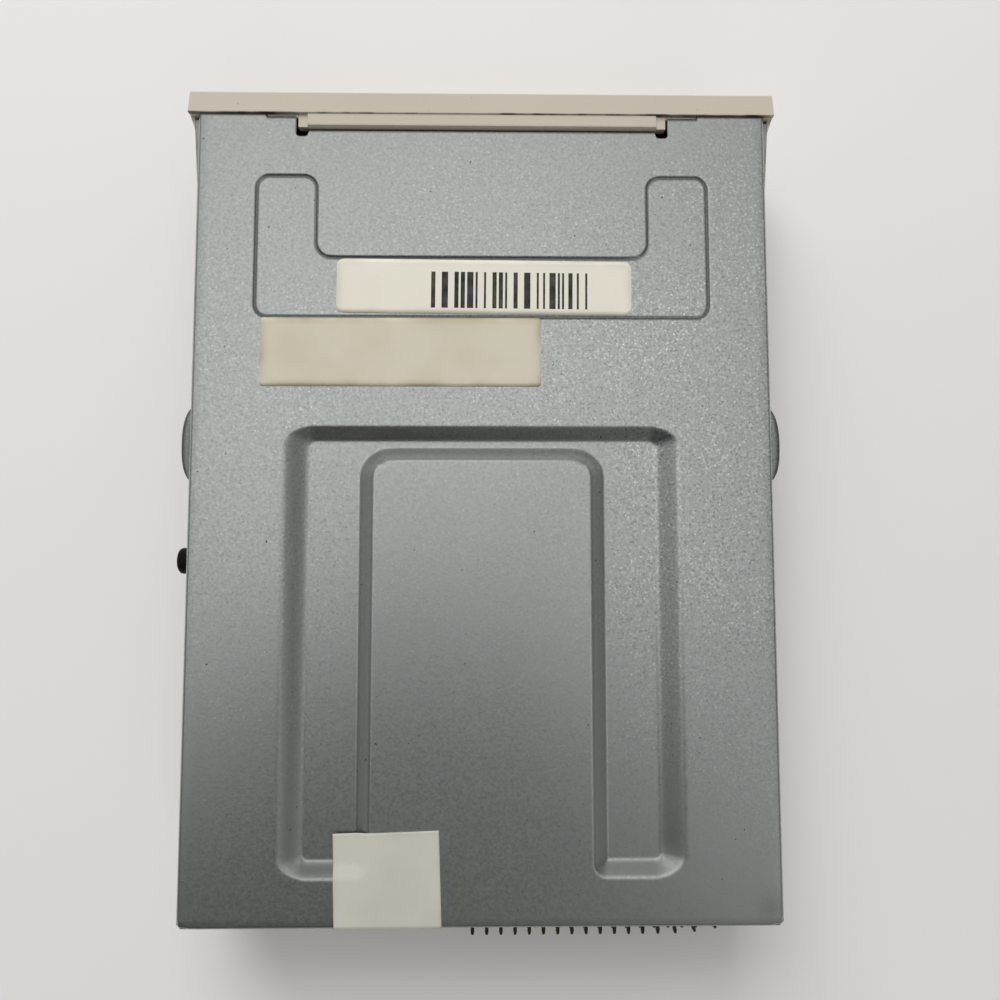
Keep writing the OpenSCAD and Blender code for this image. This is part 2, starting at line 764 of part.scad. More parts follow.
module chassis_guides() {
    color("#8d9290") in_frame() both_sides() side_guides();
}

// Cover: a pressed lid with a shallow panel and a sunk channel
module cover_block(x, rear, top, low, front, r) {
    intersection() {
        profile_y(front, rear) {
            translate([-x, low]) square([2 * x, top - low - r]);
            translate([-x + r, low]) square([2 * (x - r), top - low]);
            for (sx = [-1, 1]) translate([sx * (x - r), top - r]) circle(r);
        }
        sheet_yz(-x, 2 * x) {
            translate([front, low]) square([rear - front, top - low - r]);
            translate([front, low]) square([rear - front - r, top - low]);
            translate([rear - r, top - r]) circle(r);
        }
    }
}

module panel_plan() {
    for (sx = [0, 1]) mirror([sx, 0])
        round_rect([panel_leg_x, panel_front], [panel_x, panel_rear], panel_r);
    round_rect([-panel_x, panel_bar_y], [panel_x, panel_rear], panel_r);
    for (sx = [-1, 1]) fillet_2d([sx * panel_leg_x, panel_bar_y], -sx, -1, panel_r);
}

// Trapezium from a to b at height low that widens upwards by slope
module slope_2d(a, b, low, h, slope) {
    polygon([[a, low], [b, low], [b + slope * h, low + h], [a - slope * h, low + h]]);
}

// The plateau between the channel's legs, narrowing upwards, with cones at its front corners
module plateau(low, grow, h, slope) {
    far = cover_rear;
    over = 0.2;
    corner_x = plateau_x - plateau_r;
    corner_y = plateau_front + plateau_r;
    wide = plateau_x - grow + slope * over;
    front = plateau_front + grow - slope * over;
    rise = h + 2 * over;
    sheet_yz(-corner_x, 2 * corner_x) polygon([[front, low - over], [far, low - over],
        [far, low - over + rise], [front + slope * rise, low - over + rise]]);
    profile_y(corner_y, far) slope_2d(-wide, wide, low - over, rise, -slope);
    for (sx = [-1, 1]) translate([sx * corner_x, corner_y, low - over])
        cylinder(h = rise, r1 = plateau_r - grow + slope * over,
            r2 = plateau_r - grow + slope * (over - rise));
}

// The channel's pit: its floor widened upwards by sloping walls
module channel_pit(low, grow, h) {
    slope = channel_run / channel_depth;
    corner_x = channel_x - channel_r;
    ends = [channel_front + channel_r, channel_rear - channel_r];
    difference() {
        union() {
            sheet_yz(-corner_x, 2 * corner_x)
                slope_2d(channel_front - grow, channel_rear + grow, low, h, slope);
            profile_y(ends[0], ends[1]) slope_2d(-channel_x - grow, channel_x + grow, low, h, slope);
            for (sx = [-1, 1], y = ends) translate([sx * corner_x, y, low])
                cylinder(h = h, r1 = channel_r + grow, r2 = channel_r + grow + slope * h);
        }
        plateau(low, grow, h, slope);
    }
}

// Relief slot at the notch's corner: square towards the notch, with round corners behind
module relief_2d() {
    inner = notch_x - relief_w;
    far = notch_y + relief_l - relief_r;
    translate([inner, notch_y - cut]) square([relief_w, far - notch_y + cut]);
    translate([inner + relief_r, notch_y - cut]) square([relief_w - 2 * relief_r, relief_l + cut]);
    for (x = [inner + relief_r, notch_x - relief_r]) translate([x, far]) circle(relief_r);
}

module cover_front_cuts() {
    top = [0, 0, cover_top - 2 * cover_t];
    translate(top) linear_extrude(4 * cover_t) {
        translate([-notch_x, -cut]) square([2 * notch_x, notch_y + cut]);
        translate([-setback_x, -cut]) square([2 * setback_x, cover_front + front_setback + cut]);
        for (sx = [0, 1]) mirror([sx, 0]) relief_2d();
    }
}

module top_cover() {
    color("#a9aeac") in_frame() {
        difference() {
            union() {
                difference() {
                    cover_block(flange_x, cover_rear, cover_top, deck_top, cover_front, bend_r);
                    cover_block(upright_out, cover_rear - cover_t, cover_top - cover_t, deck_top - cut,
                        cover_front - cut, max(bend_r - cover_t, least_bend));
                }
                translate([0, 0, cover_top - cover_t - panel_depth]) linear_extrude(cover_t) panel_plan();
                channel_pit(cover_top - channel_depth - cover_t, 0.25, channel_depth + cover_t / 2);
            }
            translate([0, 0, cover_top - panel_depth]) linear_extrude(panel_depth + cut) panel_plan();
            channel_pit(cover_top - channel_depth, 0, channel_depth + 0.2);
            cover_front_cuts();
            for (sx = [-1, 1]) translate([sx * flange_x, cover_rear, deck_top - cut])
                rotate(45) translate([-corner_cut / sqrt(2), -corner_cut / sqrt(2), 0])
                    cube([sqrt(2) * corner_cut, sqrt(2) * corner_cut, cover_top]);
            block([-upright_out, cover_rear - 2 * cover_t, 0],
                [upright_out, cover_rear + cut, rear_flange_z]);
            both_sides() {
                block([upright_out - cut, finger_y - finger_half, finger_top - cover_t - finger_window],
                    [flange_x + cut, finger_y + finger_half, finger_top - cover_t]);
                for (y = [pin_front, pin_rear, (support_y + deck_rear) / 2])
                    along_x(upright_out - cut, flange_x + cut, y, lug_z, lug_d + 2 * run_gap);
            }
            sheet_yz(upright_out - cut, 2 * cut + cover_t)
                slot_2d([stud_y - eject_travel, stud_z], [stud_y, stud_z], stud_d + 2 * run_gap);
        }
        both_sides() intersection() {
            along_z(finger_top - cover_t, finger_top, [flange_x + finger_out - finger_r, finger_y],
                2 * finger_r);
            block([upright_out, finger_y - finger_r, 0],
                [flange_x + finger_r, finger_y + finger_r, cover_top]);
        }
    }
}

// Bezel: drafted front plate, disk slot with a finger scoop, tongue and hooks
module bezel_plate() {
    intersection() {
        linear_extrude(bezel_h) polygon([
            [-bezel_w / 2, 0], [bezel_w / 2, 0],
            [bezel_w / 2 - bezel_draft, -bezel_t], [bezel_draft - bezel_w / 2, -bezel_t]]);
        sheet_yz(-bezel_w / 2, bezel_w) {
            translate([-bezel_t + bezel_round, 0]) square([bezel_t - bezel_round, bezel_h]);
            translate([-bezel_t, bezel_round]) square([bezel_t, bezel_h - 2 * bezel_round]);
            for (z = [bezel_round, bezel_h - bezel_round])
                translate([-bezel_t + bezel_round, z]) circle(bezel_round);
        }
    }
}

module bezel_cuts() {
    hinge_room = flap_hinge_y + flap_t / 2 + run_gap;
    block([-slot_w / 2, -bezel_t - cut, slot_z0], [slot_w / 2, cut, slot_z1]);
    block([-slot_w / 2, -hinge_room, slot_z0], [slot_w / 2, cut, flap_axis_z + flap_t / 2 + 0.5]);
    intersection() {
        along_x(-scoop_w / 2, scoop_w / 2, -bezel_t - scoop_r + scoop_depth, slot_mid, 2 * scoop_r);
        block([-scoop_w, -bezel_t - cut, slot_mid - 5], [scoop_w, 0, slot_mid + 5]);
    }
    for (sx = [-1, 1]) along_x(sx > 0 ? slot_w / 2 - cut : -slot_w / 2 - flap_pin_l - run_gap,
        sx > 0 ? slot_w / 2 + flap_pin_l + run_gap : -slot_w / 2 + cut, -flap_hinge_y, flap_axis_z,
        flap_pin_d + 2 * pin_play);
    block([button_x - button_w / 2 - window_gap, -bezel_t - cut, button_z - window_gap],
        [button_x + button_w / 2 + window_gap, cut, button_z + button_h + window_gap]);
    along_y(-bezel_t - cut, cut, led_x, led_z, led_d + 2 * pin_play);
    // hollows that leave a skin of even thickness
    block([led_x + led_d / 2 + 3.1, -bezel_t + bezel_skin, bezel_skin],
        [button_x - button_w / 2 - 2, cut, slot_z0 - bezel_skin]);
    block([slot_w / 2 - flap_coil_room, -flap_hinge_y - flap_coil_r - 0.2, slot_z1 - 0.6],
        [slot_w / 2, cut, flap_axis_z + flap_coil_r + 0.2]);
}

module bezel_tongue() {
    block([-tongue_x, -cut, cover_top - tongue_t], [tongue_x, tongue_l, cover_top]);
    for (sx = [0, 1]) mirror([sx, 0, 0])
        block([tongue_x, -cut, cover_top - tongue_t - tongue_end_drop],
            [notch_x - run_gap, tongue_end_l, cover_top - tongue_end_drop]);
}

module bezel_gusset() {
    ear_out = ear_in + frame_t;
    linear_extrude(ear_top)
        polygon([[ear_out, -cut], [bezel_w / 2, -cut], [bezel_w / 2, 0], [ear_out, gusset_l]]);
}

module bezel_hook() {
    block([hook_x - hook_w / 2, -bezel_t + bezel_skin, deck_z - run_gap - 1.5],
        [hook_x + hook_w / 2, hook_l, deck_z - run_gap]);
    block([hook_x - hook_w / 2, hook_l - 2, deck_z - run_gap],
        [hook_x + hook_w / 2, hook_l, deck_top - 0.1]);
}

module front_bezel() {
    color("#c6bdac") in_frame() {
        difference() {
            bezel_plate();
            bezel_cuts();
        }
        bezel_tongue();
        both_sides() {
            bezel_gusset();
            bezel_hook();
        }
    }
}

// Flap: a strip that hangs from its two pins behind the slot's upper edge
module slot_flap() {
    half = slot_w / 2 - run_gap;
    notch = slot_w / 2 - flap_coil_room + run_gap;
    color("#8f887b") in_frame() {
        difference() {
            sheet_yz(-half, 2 * half) {
                translate([-flap_hinge_y - flap_t / 2, slot_z0 + run_gap])
                    square([flap_t, flap_axis_z - slot_z0 - run_gap]);
                translate([-flap_hinge_y, flap_axis_z]) circle(d = flap_t);
            }
            block([notch, -bezel_t, flap_axis_z - flap_coil_r - run_gap], [slot_w, cut, bezel_h]);
        }
        along_x(-half - run_gap - flap_pin_l, cut - half, -flap_hinge_y, flap_axis_z, flap_pin_d);
        along_x(notch - cut, half + run_gap + flap_pin_l, -flap_hinge_y, flap_axis_z, flap_pin_d);
    }
}

module flap_spring() {
    color("#7f8482") in_frame()
        translate([slot_w / 2 - flap_coil_room + 2 * run_gap, -flap_hinge_y, flap_axis_z]) rotate([0, 90, 0])
            coil(2 * flap_coil_r - flap_coil_wire, flap_coil_wire, flap_coil_room - 3 * run_gap, 4);
}

// Button and slide
module eject_button() {
    front = -bezel_t - button_proud;
    arm_room = 0.05;
    color("#bdb4a3") in_frame() difference() {
        intersection() {
            block([button_x - button_w / 2, front, button_z],
                [button_x + button_w / 2, button_rear, button_z + button_h]);
            sheet_yz(button_x - button_w / 2, button_w)
                round_rect([front, button_z], [button_rear + 1, button_z + button_h], 0.7);
        }
        block([button_x - arm_w / 2 - arm_room, front + 2.5, slide_z - arm_room],
            [button_x + arm_w / 2 + arm_room, button_rear + cut, slide_floor + arm_room]);
        block([button_x - button_w / 2 + 1.4, 0, button_z + 1.4],
            [button_x + button_w / 2 - 1.4, button_rear + cut, slide_z - 1]);
    }
}

module slide_wall() {
    sheet_yz(slide_in, slide_t) difference() {
        translate([slide_front, slide_z]) square([slide_rear - slide_front, slide_wall_h]);
        for (y = [pin_front, pin_rear])
            slot_2d([y, pin_z], [y + eject_travel, pin_z - holder_drop], pin_d + 2 * pin_play);
    }
    block([slide_out - strip_w, slide_front, slide_z], [slide_out, slide_rear, slide_floor]);
    block([spring_x - 2.8, slide_rear - slide_t, slide_z], [slide_out, slide_rear, spring_z + 2.6]);
    along_y(slide_rear, slide_rear + 2.5, spring_x, spring_z, spring_d - spring_wire - 0.6);
}

module eject_slide() {
    color("#9aa09e") in_frame() difference() {
        union() {
            both_sides() slide_wall();
            block([-slide_in, crossbar_y, slide_z], [slide_in, crossbar_y + crossbar_l, slide_floor]);
            block([button_x - arm_w / 2, -bezel_t - button_proud + 2.6, slide_z],
                [button_x + arm_w / 2, crossbar_y + cut, slide_floor]);
            block([slide_in, stud_y - 4, slide_top - cut], [slide_out, stud_y + 3, stud_z + 2.2]);
        }
        along_x(slide_in - cut, slide_out + cut, stud_y, stud_z, stud_shank_d);
    }
}

module guide_stud() {
    color("#1b1c1d") in_frame() {
        along_x(slide_in, upright_in, stud_y, stud_z, stud_shank_d);
        translate([slide_out, stud_y, stud_z]) rotate([0, 90, 0]) rotate_extrude() {
            reach = flange_x + stud_out - slide_out;
            edge = 0.7;
            square([stud_d / 2, reach - edge]);
            square([stud_d / 2 - edge, reach]);
            translate([stud_d / 2 - edge, reach - edge]) intersection() {
                circle(edge);
                square(edge);
            }
        }
    }
}

module eject_springs() {
    color("#7f8482") in_frame() for (x = [-spring_x, spring_x])
        translate([x, slide_rear, spring_z]) rotate([-90, 0, 0])
            coil(spring_d, spring_wire, spring_tab_y - slide_rear, spring_turns);
}

// Holder: a C-shaped sheet tunnel that carries the disk by its long edges
module holder_section() {
    for (sx = [0, 1]) mirror([sx, 0]) {
        translate([holder_in, holder_z]) square([holder_t, roof_top - holder_z]);
        translate([holder_out - holder_lip, holder_z]) square([holder_lip, holder_t]);
    }
    translate([-holder_out, roof_z]) square([2 * holder_out, holder_t]);
}

// Ring sector round the lever's pivot that its pin sweeps
module lever_slot_plan() {
    reach = 2 * lever_l;
    intersection() {
        difference() {
            circle(lever_l + lever_pin_d / 2 + run_gap - hair);
            circle(lever_l - lever_pin_d / 2 - run_gap + hair);
        }
        polygon([[0, 0], [reach * cos(lever_rest), -reach * sin(lever_rest)], [reach, 0],
            [reach * cos(lever_swing - lever_rest), reach * sin(lever_swing - lever_rest)]]);
    }
    for (a = [-lever_rest, lever_swing - lever_rest]) rotate(a) translate([lever_l, 0])
        circle(d = lever_pin_d + 2 * run_gap);
}

module disk_holder() {
    color("#a3a8a6") in_frame() difference() {
        union() {
            profile_y(holder_front, holder_rear) holder_section();
            block([-roof_ext_x, holder_rear - cut, roof_z], [-roof_cut_x, roof_ext, roof_top]);
        }
        translate([0, 0, roof_z - cut]) linear_extrude(holder_t + 2 * cut) {
            translate([-roof_cut_x, roof_cut_y]) square([2 * roof_cut_x, holder_rear]);
            translate([-lever_x, lever_y]) {
                lever_slot_plan();
                circle(d = rivet_d);
            }
            for (sx = [-1, 1]) translate([sx * roof_hole_x, roof_hole_y]) circle(d = roof_hole_d);
        }
        both_sides() for (y = [pin_front, pin_rear])
            along_x(holder_in - cut, holder_out + cut, y, pin_z, pin_d);
    }
}

module holder_pins() {
    color("#c2c6c4") in_frame() both_sides() for (y = [pin_front, pin_rear])
        along_x(holder_in, upright_out - run_gap, y, pin_z, pin_d);
}

// Lever that opens the disk's shutter
module shutter_lever() {
    color("#b9bdbb") in_frame() translate([-lever_x, lever_y, 0]) rotate(-lever_rest) {
        difference() {
            translate([0, 0, lever_z]) linear_extrude(lever_t) {
                circle(d = lever_hub_d);
                translate([lever_l, 0]) circle(d = lever_pin_d + 2);
                polygon([[0, lever_hub_d / 2], [0, -lever_hub_d / 2], [lever_l, -lever_pin_d / 2 - 1],
                    [lever_l, lever_pin_d / 2 + 1]]);
            }
            along_z(lever_z - cut, lever_top + cut, [0, 0], rivet_d + 4 * shaft_play);
        }
        along_z(holder_floor + 0.6, lever_z, [lever_l, 0], lever_pin_d);
    }
}

module lever_pivot() {
    color("#c2c6c4") in_frame() {
        along_z(roof_z, rivet_head_z, [-lever_x, lever_y], rivet_d);
        along_z(rivet_head_z, rivet_head_z + rivet_head_t, [-lever_x, lever_y], rivet_d + 3);
    }
}

module lever_spring() {
    color("#7f8482") in_frame() translate([-lever_x, lever_y, lever_top + 0.1])
        coil(rivet_d + 1.4, 0.3, lever_coil_h, 2);
}

// Spindle motor
module spindle_turn() {
    translate([0, spindle_y, 0]) rotate_extrude() children();
}

module rotor_cup() {
    r = rotor_d / 2;
    boss_r = 5;
    color("#9aa09e") in_frame() spindle_turn() {
        translate([shaft_d / 2, rotor_top - rotor_t]) square([r - shaft_d / 2, rotor_t]);
        translate([r - rotor_t, rotor_low]) square([rotor_t, rotor_top - rotor_low]);
        translate([shaft_d / 2, rotor_top - rotor_t])
            square([boss_r - shaft_d / 2, hub_top - hub_t - rotor_top + rotor_t]);
    }
}

module ring_magnet() {
    color("#3c3a3a") in_frame() spindle_turn()
        translate([magnet_r, rotor_low + 0.2]) square([magnet_t, rotor_top - rotor_t - rotor_low - 0.2]);
}

module hub_plate() {
    bevel = 0.4;
    color("#c2c6c4") in_frame() difference() {
        spindle_turn() polygon([[shaft_d / 2, hub_top - hub_t], [hub_d / 2, hub_top - hub_t],
            [hub_d / 2, hub_top - bevel], [hub_d / 2 - bevel, hub_top], [shaft_d / 2, hub_top]]);
        along_z(hub_top - hub_t - cut, hub_top + cut, [drive_pin_r, spindle_y], drive_pin_d);
    }
}

module spindle_shaft() {
    bevel = 0.6;
    color("#d4d8d6") in_frame() spindle_turn() polygon([[0, motor_board_z], [shaft_d / 2, motor_board_z],
        [shaft_d / 2, shaft_top - bevel], [shaft_d / 2 - bevel, shaft_top], [0, shaft_top]]);
}

module drive_pin() {
    color("#d4d8d6") in_frame()
        along_z(hub_top - hub_t, hub_top + 1.5, [drive_pin_r, spindle_y], drive_pin_d);
}

module bearing_bush() {
    bore = shaft_d / 2 + shaft_play;
    color("#b08d3f") in_frame() spindle_turn() {
        translate([bore, motor_board_z])
            square([bush_d / 2 - bore, rotor_top - rotor_t - run_gap - motor_board_z]);
        translate([bore, motor_board_top]) square([bush_flange_d / 2 - bore, bush_seat_z - motor_board_top]);
    }
}

module core_plan() {
    ring_r = bush_flange_d / 2;
    shoe = 2;
    shoe_half = 360 / pole_count * 0.4;
    difference() {
        union() {
            circle(ring_r);
            for (i = [0 : pole_count - 1]) rotate(360 / pole_count * i) {
                translate([0, -tooth_w / 2]) square([core_r - shoe / 2, tooth_w]);
                intersection() {
                    difference() {
                        circle(core_r);
                        circle(core_r - shoe);
                    }
                    polygon([[0, 0], [2 * core_r, -2 * core_r * tan(shoe_half)],
                        [2 * core_r, 2 * core_r * tan(shoe_half)]]);
                }
            }
        }
        circle(d = bush_d);
    }
}

module stator_core() {
    color("#6f7573") in_frame() translate([0, spindle_y, core_z]) linear_extrude(core_t) core_plan();
}

module stator_coils() {
    wall = 0.8;
    r0 = bush_flange_d / 2 + 1.4;
    r1 = core_r - 2.6;
    color("#a8653a") in_frame() translate([0, spindle_y, 0]) for (i = [0 : pole_count - 1])
        rotate(360 / pole_count * i) difference() {
            block([r0, -tooth_w / 2 - wall, core_z - wall],
                [r1, tooth_w / 2 + wall, core_z + core_t + wall]);
            block([r0 - cut, -tooth_w / 2, core_z], [r1 + cut, tooth_w / 2, core_z + core_t]);
        }
}

module motor_board() {
    color("#4a4f45") in_frame() difference() {
        translate([0, 0, motor_board_z]) linear_extrude(motor_board_t)
            round_rect([-motor_board_x, motor_board_front], [motor_board_x, motor_board_rear], 3);
        along_z(0, deck_top, [0, spindle_y], bush_d);
        for (p = motor_posts) along_z(0, deck_top, p, screw_shank_d);
    }
}

module motor_spacers() {
    color("#c2a65a") in_frame() for (p = motor_posts) tube_z(motor_board_top, deck_z, p, 5, screw_shank_d);
}

module motor_screws() {
    color("#aab0ae") in_frame() for (p = motor_posts)
        screw_up(p, motor_board_z, 4.4, 1, screw_shank_d, deck_top - motor_board_z - 0.1);
}

// Stepper motor, its bracket and the lead screw
module stepper_motor() {
    rim = 0.6;
    color("#8d9290") in_frame() difference() {
        translate([screw_x, bracket_rear, screw_z]) rotate([-90, 0, 0]) rotate_extrude() polygon([
            [0, 0], [can_d / 2, 0], [can_d / 2, can_l - rim], [can_d / 2 - rim, can_l], [can_d / 4, can_l],
            [can_d / 4, can_l + rim], [0, can_l + rim]]);
        along_y(bracket_rear - cut, bracket_rear + 6, screw_x, screw_z, journal_d + 2 * pin_play);
    }
}

module stepper_bracket() {
    color("#9aa09e") in_frame() difference() {
        union() {
            block([screw_x - bracket_x, bracket_front, deck_top],
                [screw_x + bracket_x, bracket_rear, deck_top + bracket_t]);
            block([screw_x - bracket_x, bracket_rear - bracket_t, deck_top],
                [screw_x + bracket_x, bracket_rear, screw_z + bracket_x]);
            block([screw_x - bracket_x / 2, bracket_front, deck_top],
                [screw_x + bracket_x / 2, bracket_front + bracket_t, screw_z + 2]);
        }
        for (y = [bracket_front - cut, bracket_rear - bracket_t - cut])
            along_y(y, y + bracket_t + 2 * cut, screw_x, screw_z, journal_d + 2 * shaft_play);
        for (y = bracket_screws_y) along_z(deck_z, deck_top + 2, [bracket_screw_x, y], screw_shank_d);
    }
}

module bracket_screws() {
    color("#aab0ae") in_frame() for (y = bracket_screws_y) translate([bracket_screw_x, y, 0]) {
        along_z(deck_z, deck_top + bracket_t, [0, 0], screw_shank_d);
        along_z(deck_top + bracket_t, deck_top + bracket_t + 0.9, [0, 0], 3.6);
    }
}

module lead_screw() {
    color("#c8ccca") in_frame() {
        along_y(bracket_front, bracket_rear + 5, screw_x, screw_z, journal_d);
        along_y(screw_front, screw_back, screw_x, screw_z, screw_d);
    }
}

// Rods, carriage and heads
module guide_rods() {
    color("#d4d8d6") in_frame() for (x = [-rod_x, rod_x]) along_y(rod_front, rod_rear, x, rod_z, rod_d);
}

module rod_clamps() {
    low = rod_z - rod_d / 2 - 0.15;
    color("#7b807e") in_frame() for (p = clamp_places) difference() {
        block([p.x - 2.2 - (p.x < 0 ? 3 : 0), p.y, low],
            [p.x + 2.2 + (p.x > 0 ? 3 : 0), p.y + clamp_l, deck_z]);
        along_y(p.y - cut, p.y + clamp_l + cut, p.x, rod_z, rod_d);
        along_z(0, deck_top, [p.x + sign(p.x) * clamp_screw_out, p.y + clamp_l / 2], clamp_bore());
    }
}

function clamp_bore() = 1.4;

module clamp_screws() {
    color("#aab0ae") in_frame() for (p = clamp_places)
        translate([p.x + sign(p.x) * clamp_screw_out, p.y + clamp_l / 2, 0]) {
            along_z(rod_z - rod_d / 2, deck_z, [0, 0], clamp_bore());
            along_z(deck_z, deck_top, [0, 0], screw_shank_d);
            along_z(deck_top, deck_top + 0.8, [0, 0], 3.4);
        }
}

module carriage_section() {
    translate([-carriage_x, carriage_z]) square([2 * carriage_x, carriage_top - carriage_z]);
    for (sx = [-1, 1]) translate([sx * rod_x, rod_z]) {
        circle(d = rod_d + 2);
        translate([-rod_d / 2 - 1, 0]) square([rod_d + 2, carriage_z - rod_z + 0.5]);
    }
}

module carriage_tower() {
    sheet_yz(arm_x - 1, 2.5) {
        translate([tower_front, carriage_top - 0.5])
            square([carriage_rear - tower_front, hinge_z - carriage_top + 0.5]);
        translate([hinge_y, hinge_z]) circle(2.5);
    }
}

module head_carriage() {
    flag_x = -window_x - 2.5;
    bore = rod_d + 2 * shaft_play;
    color("#5d6260") in_frame() difference() {
        union() {
            profile_y(carriage_front, carriage_rear) carriage_section();
            block([-nose_x, head_y - nose_tip, carriage_z], [nose_x, carriage_front + cut, carriage_top]);
            both_sides() carriage_tower();
            block([carriage_x - cut, carriage_rear - 4, carriage_top - 0.3],
                [screw_x + 1.5, carriage_rear, carriage_top + 1.4]);
            block([screw_x - 1, carriage_rear - 2.6, carriage_top], [screw_x + 1, carriage_rear - 1.4,
                screw_z - screw_d / 2 - pin_play]);
            block([flag_x - 0.3, carriage_rear - 4, carriage_top - 0.4],
                [cut - carriage_x, carriage_rear - 1, carriage_top + 0.8]);
            block([flag_x - 0.3, carriage_rear - 4, carriage_top],
                [flag_x + 0.3, carriage_rear + 3, carriage_top + 2.4]);
        }
        for (x = [-rod_x, rod_x]) along_y(carriage_front - cut, carriage_rear + cut, x, rod_z, bore);
        along_x(-2 * arm_x, 2 * arm_x, hinge_y, hinge_z, arm_pin_d);
        round_rect_pocket();
    }
}

// Lightening pocket in the carriage's slab
module round_rect_pocket() {
    translate([0, 0, carriage_z - cut]) linear_extrude(cut + (carriage_top - carriage_z) / 2)
        round_rect([-nose_x, carriage_front + 3], [nose_x, tower_front - 2], 1.5);
}

module lower_head() {
    color("#2f3231") in_frame() {
        along_z(carriage_top, carriage_top + 0.6, [0, head_y], 6.4);
        block([-1.8, head_y - 2, carriage_top], [1.8, head_y + 2, carriage_top + 2.2]);
    }
}

module upper_arm() {
    hub_half = arm_x - 1 - run_gap;
    hub_r = 1.8;
    tip = head_y - nose_tip + 0.5;
    color("#a3a8a6") in_frame() difference() {
        union() {
            translate([0, 0, arm_z]) linear_extrude(arm_t) {
                polygon([[-arm_x + 1.6, tip], [arm_x - 1.6, tip], [arm_x, head_y + 4],
                    [arm_x, tower_front - 1.6], [-arm_x, tower_front - 1.6], [-arm_x, head_y + 4]]);
                translate([-hub_half, tower_front - 2.6])
                    square([2 * hub_half, hinge_y - tower_front + 4.4]);
            }
            sheet_yz(-hub_half, 2 * hub_half) {
                translate([hinge_y, hinge_z]) circle(hub_r);
                translate([hinge_y - hub_r, hinge_z]) square([2 * hub_r, arm_z - hinge_z + 0.5]);
            }
        }
        along_x(-2 * arm_x, 2 * arm_x, hinge_y, hinge_z, arm_pin_d + 4 * shaft_play);
    }
}

module arm_pin() {
    color("#c2c6c4") in_frame() along_x(-arm_x - 1.5, arm_x + 5, hinge_y, hinge_z, arm_pin_d);
}

module arm_spring() {
    color("#7f8482") in_frame() translate([arm_x + 1.8, hinge_y, hinge_z]) rotate([0, 90, 0])
        coil(arm_pin_d + 1.2, 0.35, 3, 3);
}

module upper_head() {
    color("#2f3231") in_frame() block([-1.8, head_y - 2, arm_z - 0.5], [1.8, head_y + 2, arm_z]);
}

module track_zero_sensor() {
    x = -window_x - 2.5;
    front = carriage_rear - 1 + run_gap;
    color("#232526") in_frame() difference() {
        block([x - 3, front, deck_top], [x + 3, front + 6, deck_top + 5]);
        block([x - 1, front - cut, deck_top + 1], [x + 1, front + 5, deck_top + 6]);
        block([-window_x - 0.2, 0, 0], [0, window_rear + 0.2, deck_top + 8]);
    }
}

// Boards and connectors
module main_board_plan() {
    inner = window_x + 1.5;
    difference() {
        union() {
            translate([-board_x, window_rear + 1]) square([2 * board_x, board_rear - window_rear - 1]);
            for (sx = [0, 1]) mirror([sx, 0]) {
                translate([inner, board_mid]) square([board_x - inner, board_rear - board_mid]);
                translate([board_arm_x, board_front])
                    square([board_x - board_arm_x, board_rear - board_front]);
            }
        }
        for (p = board_posts) translate(p) circle(d = screw_shank_d);
        for (i = [0 : pin_columns - 1], r = [0, 1])
            translate([pin_column_x(i) - pin_side / 2, pin_leg_y(r) - pin_side / 2]) square(pin_side);
        for (i = [0 : 3])
            translate([power_pin_x(i) - pin_side / 2, power_leg_y() - pin_side / 2]) square(pin_side);
    }
}

function pin_column_x(i) = header_x + pin_pitch * ((pin_columns - 1) / 2 - i);
function pin_leg_y(row) = header_y - 1.2 - 2.54 * row;
function power_pin_x(i) = power_x + power_pitch * (1.5 - i);
function power_leg_y() = board_rear - 4.6;

module main_board() {
    color("#4c6a3f") in_frame() translate([0, 0, board_z]) linear_extrude(board_t) main_board_plan();
}

module board_spacers() {
    color("#c2a65a") in_frame() for (p = board_posts) tube_z(board_top, deck_z, p, 4.6, screw_shank_d);
}

module board_screws() {
    color("#aab0ae") in_frame() for (p = board_posts)
        screw_up(p, board_z, 4.4, 1.2, screw_shank_d, deck_top - board_z - 0.1);
}

module chip(p, w, l, h) {
    bevel = 0.3;
    block([p.x - w / 2, p.y - l / 2, board_z - h + bevel], [p.x + w / 2, p.y + l / 2, board_z - 0.1]);
    block([p.x - w / 2 + bevel, p.y - l / 2 + bevel, board_z - h],
        [p.x + w / 2 - bevel, p.y + l / 2 - bevel, board_z]);
}

module board_chips() {
    color("#202223") in_frame() {
        chip([-0.65 * board_x, 0.756 * board_rear], chip_side, chip_side, chip_h);
        chip([0.13 * board_x, 0.911 * board_rear], 1.43 * chip_side, chip_side / 2, 0.9 * chip_h);
        chip([0.65 * board_x, 0.785 * board_rear], chip_side / 2, 0.86 * chip_side, 0.9 * chip_h);
    }
}

module board_capacitors() {
    spots = [[-0.26, 0.904], [-0.52, 0.896], [0.565, 0.904], [0.78, 0.704], [0.78, 0.874]];
    color("#b98a3c") in_frame() for (p = spots)
        chip([p.x * board_x, p.y * board_rear], cap_w, 1.7 * cap_w, cap_w / 2);
}

module signal_header() {
    half = pin_columns * pin_pitch / 2;
    color("#1f2122") in_frame() difference() {
        block([header_x - half, header_y, board_top],
            [header_x + half, header_y + header_l, board_top + 2 * pin_pitch]);
        for (i = [0 : pin_columns - 1], r = [0, 1])
            translate([pin_column_x(i), header_y - cut, row_low + pin_pitch * r])
                translate([-pin_side / 2, 0, -pin_side / 2])
                    cube([pin_side, header_l + 2 * cut, pin_side]);
        for (i = [0 : pin_columns])
            translate([header_x + half - i * pin_pitch, header_y + header_l, board_top - cut]) rotate(45)
                translate([-0.35, -0.35, 0]) cube([0.7, 0.7, 4 * pin_pitch]);
    }
}

